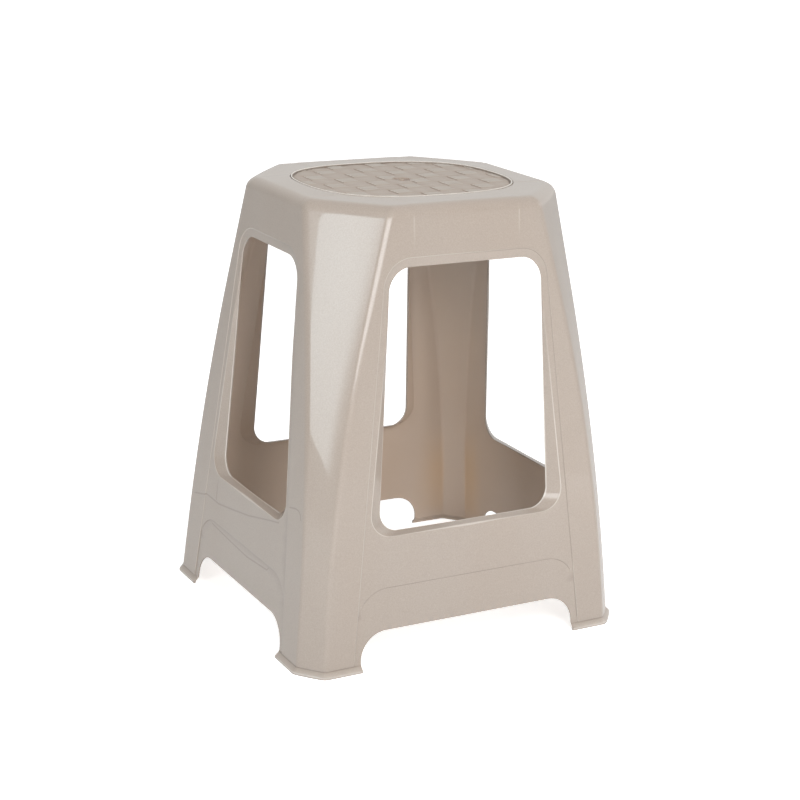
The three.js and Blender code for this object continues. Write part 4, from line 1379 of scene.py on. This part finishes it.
def make_woven_plastic():
    """Satin beige: painted shade where the strands dip, painted lighter, and glossier, where they stand up.
    """
    colours = bpy.context.scene.stool_colours
    make = Plastic("woven_satin_plastic", 0.35, 40.0)
    lift = make.attribute("lift")
    # Painted shade down in the gaps, and the strands that stand up painted lighter for the light they catch
    low = make.mix(make.spread(lift, -0.3, 0.1, 0.0, 1.0), colours.woven_shade_and_streaks, colours.woven_low)
    tops = make.mix(make.spread(lift, 0.6, 0.95, 0.0, 1.0), low, colours.woven)
    cloudy = make.mix(make.cloudiness(0.5), tops, colours.woven_low)
    drawn = make.stretched(make.place(), (50.0, 600.0, 1.0))
    fibre = make.add("ShaderNodeTexNoise", {"Vector": drawn, "Scale": 1.0, "Detail": 2.0}).outputs[0]
    fibrous = make.mix(make.spread(fibre, 0.5, 0.75, 0.0, 0.5), cloudy, colours.woven_shade_and_streaks)
    # A painted highlight on the bead's crest and the gate nub's top, which stand highest
    gate = make.mix(make.spread(lift, 1.4, 1.85, 0.0, 1.0), fibrous, colours.edge)
    # Painted highlights on the strands' edges below 0, and painted shade at the bead's foot above 0
    line = make.attribute("line")
    lit = make.mix(make.spread(line, 0.0, -1.0, 0.0, 0.8), gate, colours.edge)
    shaded = make.mix(make.spread(line, 0.0, 1.0, 0.0, 0.9), lit, colours.groove_shade_and_flow_mark)
    rough = make.spread(lift, 1.0, 1.4, colours.woven_roughness, colours.roughness)
    return make.finish(shaded, rough, 0.4, mm(0.05), 0.25)


def inner_plastic():
    """The plastic of the shell's inside, which the ribs share."""
    return bpy.data.materials.get("matt_inner_plastic") or make_inner_plastic()


def finish_piece(piece, materials, nodes):
    """Gives a piece its materials, and says what it rides on and which solids it stands in for."""
    for material in materials:
        piece.data.materials.append(material)
    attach(piece, BODY)
    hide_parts(*nodes)


def shade_evenly(piece):
    """Lets the large faces set the shading, so that fine steps don't dent it."""
    piece.modifiers.new("even_shading", "WEIGHTED_NORMAL").weight = 60


# The stage

# The way to the studio's bright side
BRIGHT_WAY = (0.62, 0.78, 0.0)

# Bounced lights: width, height, share of the fill, azimuth and elevation in degrees, and distance
BOUNCES = (
    ("front_bounce", 0.5, 1.0, 1.0, 9.5, 30, 2.4),
    ("left_bounce", 0.6, 0.9, 0.3, 68, 22, 2.4),
    ("top_bounce", 0.8, 0.8, 0.3, 8, 62, 2.4),
    ("right_bounce", 0.4, 0.4, 0.2, -38, -4, 1.1),
)


def make_floor(scene):
    """A pale floor that glows for the camera, and a little in reflections."""
    studio = scene.stool_studio
    reach = studio.floor_reach
    floor = MeshMaker()
    floor.add([(-reach, -reach, 0), (reach, -reach, 0), (reach, reach, 0), (-reach, reach, 0)], [range(4)])
    piece = floor.object("floor", PLAIN_MERGE)
    material = bpy.data.materials.new("pale_floor")
    shader = principled(material)
    make = Nodes(material.node_tree)
    away = make.add("ShaderNodeVectorMath", {0: make.place()}, operation="LENGTH").outputs["Value"]
    glow = make.spread(away, studio.near, studio.far, studio.white_near, studio.white_far)
    path = make.add("ShaderNodeLightPath").outputs
    seen = make.math("MULTIPLY_ADD", path["Is Glossy Ray"], studio.floor_gloss, path["Is Camera Ray"])
    strength = make.math("MULTIPLY", glow, seen)
    make.feed(shader, {"Base Color": scene.stool_colours.floor, "Roughness": 0.9})
    make.feed(shader, {"Emission Color": (1, 1, 1, 1), "Emission Strength": strength})
    piece.data.materials.append(material)


def make_backdrop(scene):
    """A studio that is white to the camera, and else lightest at the back right and above."""
    studio = scene.stool_studio
    scene.view_settings.view_transform = "Standard"
    scene.world = bpy.data.worlds.new("studio")
    scene.world.use_nodes = True
    make = Nodes(scene.world.node_tree)
    direction = make.add("ShaderNodeTexCoord").outputs["Generated"]
    side = make.add("ShaderNodeVectorMath", {0: direction, 1: BRIGHT_WAY}, operation="DOT_PRODUCT")
    light = make.spread(side.outputs["Value"], 0.0, 0.9, studio.dim, studio.bright, "SMOOTHSTEP")
    height = make.add("ShaderNodeSeparateXYZ", {0: direction}).outputs["Z"]
    above = make.spread(height, 0.1, 1.0, 0.0, studio.above, "SMOOTHSTEP")
    seen = make.add("ShaderNodeLightPath").outputs["Is Camera Ray"]
    shown = make.math("MAXIMUM", make.math("ADD", light, above), seen)
    background = make.tree.nodes["Background"]
    make.feed(background, {"Color": scene.stool_colours.backdrop, "Strength": shown})


def softbox(scene, name, width, height, glow, azimuth, elevation, away, tint=(1, 1, 1), spin=0):
    """A softbox of even glow round the stool. Azimuth 0 is in front and 90 on the left, in degrees."""
    data = bpy.data.lights.new(name, "AREA")
    data.shape = "RECTANGLE"
    data.size = width
    data.size_y = height
    data.energy = glow * math.pi * width * height
    data.color = tint
    turn, lift = math.radians(azimuth), math.radians(elevation)
    aim = Vector((-math.sin(turn) * math.cos(lift), -math.cos(turn) * math.cos(lift), math.sin(lift)))
    upright = aim.to_track_quat("Z", "Y")
    lamp = bpy.data.objects.new(name, data)
    lamp.location = Vector((0, 0, scene.stool_studio.aim_height)) + aim * away
    lamp.rotation_mode = "QUATERNION"
    lamp.rotation_quaternion = upright @ Matrix.Rotation(math.radians(spin), 3, "Z").to_quaternion()
    scene.collection.objects.link(lamp)
    return lamp


def fade_edge(lamp):
    """Lets a softbox fade out towards one of its upright edges."""
    lamp.data.use_nodes = True
    make = Nodes(lamp.data.node_tree)
    spot = make.add("ShaderNodeNewGeometry").outputs["Parametric"]
    across = make.add("ShaderNodeSeparateXYZ", {0: spot}).outputs["X"]
    fade = make.spread(across, 1.0, 0.7, 0.0, 1.0, "SMOOTHSTEP")
    make.feed(make.tree.nodes["Emission"], {"Strength": fade})


def make_lights(scene):
    """The softboxes that show in the plastic, and the bounced light that doesn't."""
    studio = scene.stool_studio
    front = softbox(scene, "front_softbox", 1.75, 0.65, studio.key, 18, 10, 2.6, (0.93, 0.97, 1.0))
    front.visible_diffuse = False
    left = softbox(scene, "left_softbox", 0.46, 0.86, studio.chamfer, 67.7, 10.1, 2.0, (0.84, 0.95, 1.0), -18)
    fade_edge(left)
    softbox(scene, "right_softbox", 0.25, 1.0, studio.edge, -75, 20, 2.2)
    for name, width, height, share_of_fill, azimuth, elevation, away in BOUNCES:
        glow = studio.fill * share_of_fill
        bounce = softbox(scene, name, width, height, glow, azimuth, elevation, away)
        bounce.visible_glossy = False


def make_camera(scene):
    """The camera, which looks at the stool's front left corner from a little above."""
    studio = scene.stool_studio
    data = bpy.data.cameras.new("camera")
    data.lens = studio.lens
    data.sensor_width = studio.sensor
    camera = bpy.data.objects.new("camera", data)
    scene.collection.objects.link(camera)
    level = Vector((math.sin(studio.azimuth), math.cos(studio.azimuth), 0))
    ahead = level * math.cos(studio.elevation) - Vector((0, 0, math.sin(studio.elevation)))
    right = Vector((math.cos(studio.azimuth), -math.sin(studio.azimuth), 0))
    up = right.cross(ahead)
    turned_right = right * math.cos(studio.roll) + up * math.sin(studio.roll)
    turned_up = up * math.cos(studio.roll) - right * math.sin(studio.roll)
    axes = Matrix((turned_right, turned_up, -ahead)).transposed()
    camera.matrix_world = Matrix.Translation(studio.camera) @ axes.to_4x4()
    scene.camera = camera


# Operators


class StoolOperator:
    """What the stool's operators share."""

    bl_options = {"REGISTER", "UNDO"}


class STOOL_OT_make_shell(StoolOperator, bpy.types.Operator):
    """Make the moulded shell with its windows, arches, feet and rim"""

    bl_idname = "stool.make_shell"
    bl_label = "Make the Shell"

    def execute(self, context):
        scene = context.scene
        shell = Shell(scene.stool_shape, scene.stool_relief, scene.stool_weave).build()
        finish_piece(shell, [make_shell_plastic(), inner_plastic()], SHELL_NODES)
        shade_evenly(shell)
        return {"FINISHED"}


class STOOL_OT_make_woven_seat(StoolOperator, bpy.types.Operator):
    """Make the woven inlay with its bead and its gate mark"""

    bl_idname = "stool.make_woven_seat"
    bl_label = "Make the Woven Seat"

    def execute(self, context):
        scene = context.scene
        seat = WovenSeat(scene.stool_shape, scene.stool_weave).build()
        finish_piece(seat, [make_woven_plastic()], ["seat_panel"])
        return {"FINISHED"}


class STOOL_OT_make_ribs(StoolOperator, bpy.types.Operator):
    """Make the hoop and the ribs under the seat"""

    bl_idname = "stool.make_ribs"
    bl_label = "Make the Ribs"

    def execute(self, context):
        scene = context.scene
        ribs = SeatRibs(scene.stool_weave, scene.stool_ribs).build()
        finish_piece(ribs, [inner_plastic()], RIB_NODES)
        shade_evenly(ribs)
        return {"FINISHED"}


class STOOL_OT_make_stage(StoolOperator, bpy.types.Operator):
    """Make the floor, the lights and the camera"""

    bl_idname = "stool.make_stage"
    bl_label = "Make the Stage"

    def execute(self, context):
        for make in (make_floor, make_backdrop, make_lights, make_camera):
            make(context.scene)
        return {"FINISHED"}


class STOOL_PT_panel(bpy.types.Panel):
    """Lists the stool's operators"""

    bl_label = "Moulded Stool"
    bl_idname = "STOOL_PT_panel"
    bl_space_type = "VIEW_3D"
    bl_region_type = "UI"
    bl_category = "Stool"

    def draw(self, context):
        for operator in OPERATORS:
            self.layout.operator(operator.bl_idname)


OPERATORS = (STOOL_OT_make_stage, STOOL_OT_make_shell, STOOL_OT_make_woven_seat, STOOL_OT_make_ribs)
GROUPS = {
    "stool_shape": StoolShape,
    "stool_relief": StoolRelief,
    "stool_weave": StoolWeave,
    "stool_ribs": StoolRibs,
    "stool_colours": StoolColours,
    "stool_studio": StoolStudio,
}
CLASSES = (WideSide, NarrowSide, *GROUPS.values(), *OPERATORS, STOOL_PT_panel)


def register():
    for cls in CLASSES:
        bpy.utils.register_class(cls)
    for name, group in GROUPS.items():
        setattr(bpy.types.Scene, name, PointerProperty(type=group))


def unregister():
    for name in GROUPS:
        delattr(bpy.types.Scene, name)
    for cls in reversed(CLASSES):
        bpy.utils.unregister_class(cls)


def main():
    register()
    bpy.ops.stool.make_stage()
    bpy.ops.stool.make_shell()
    bpy.ops.stool.make_woven_seat()
    bpy.ops.stool.make_ribs()


if __name__ == "__main__":
    main()
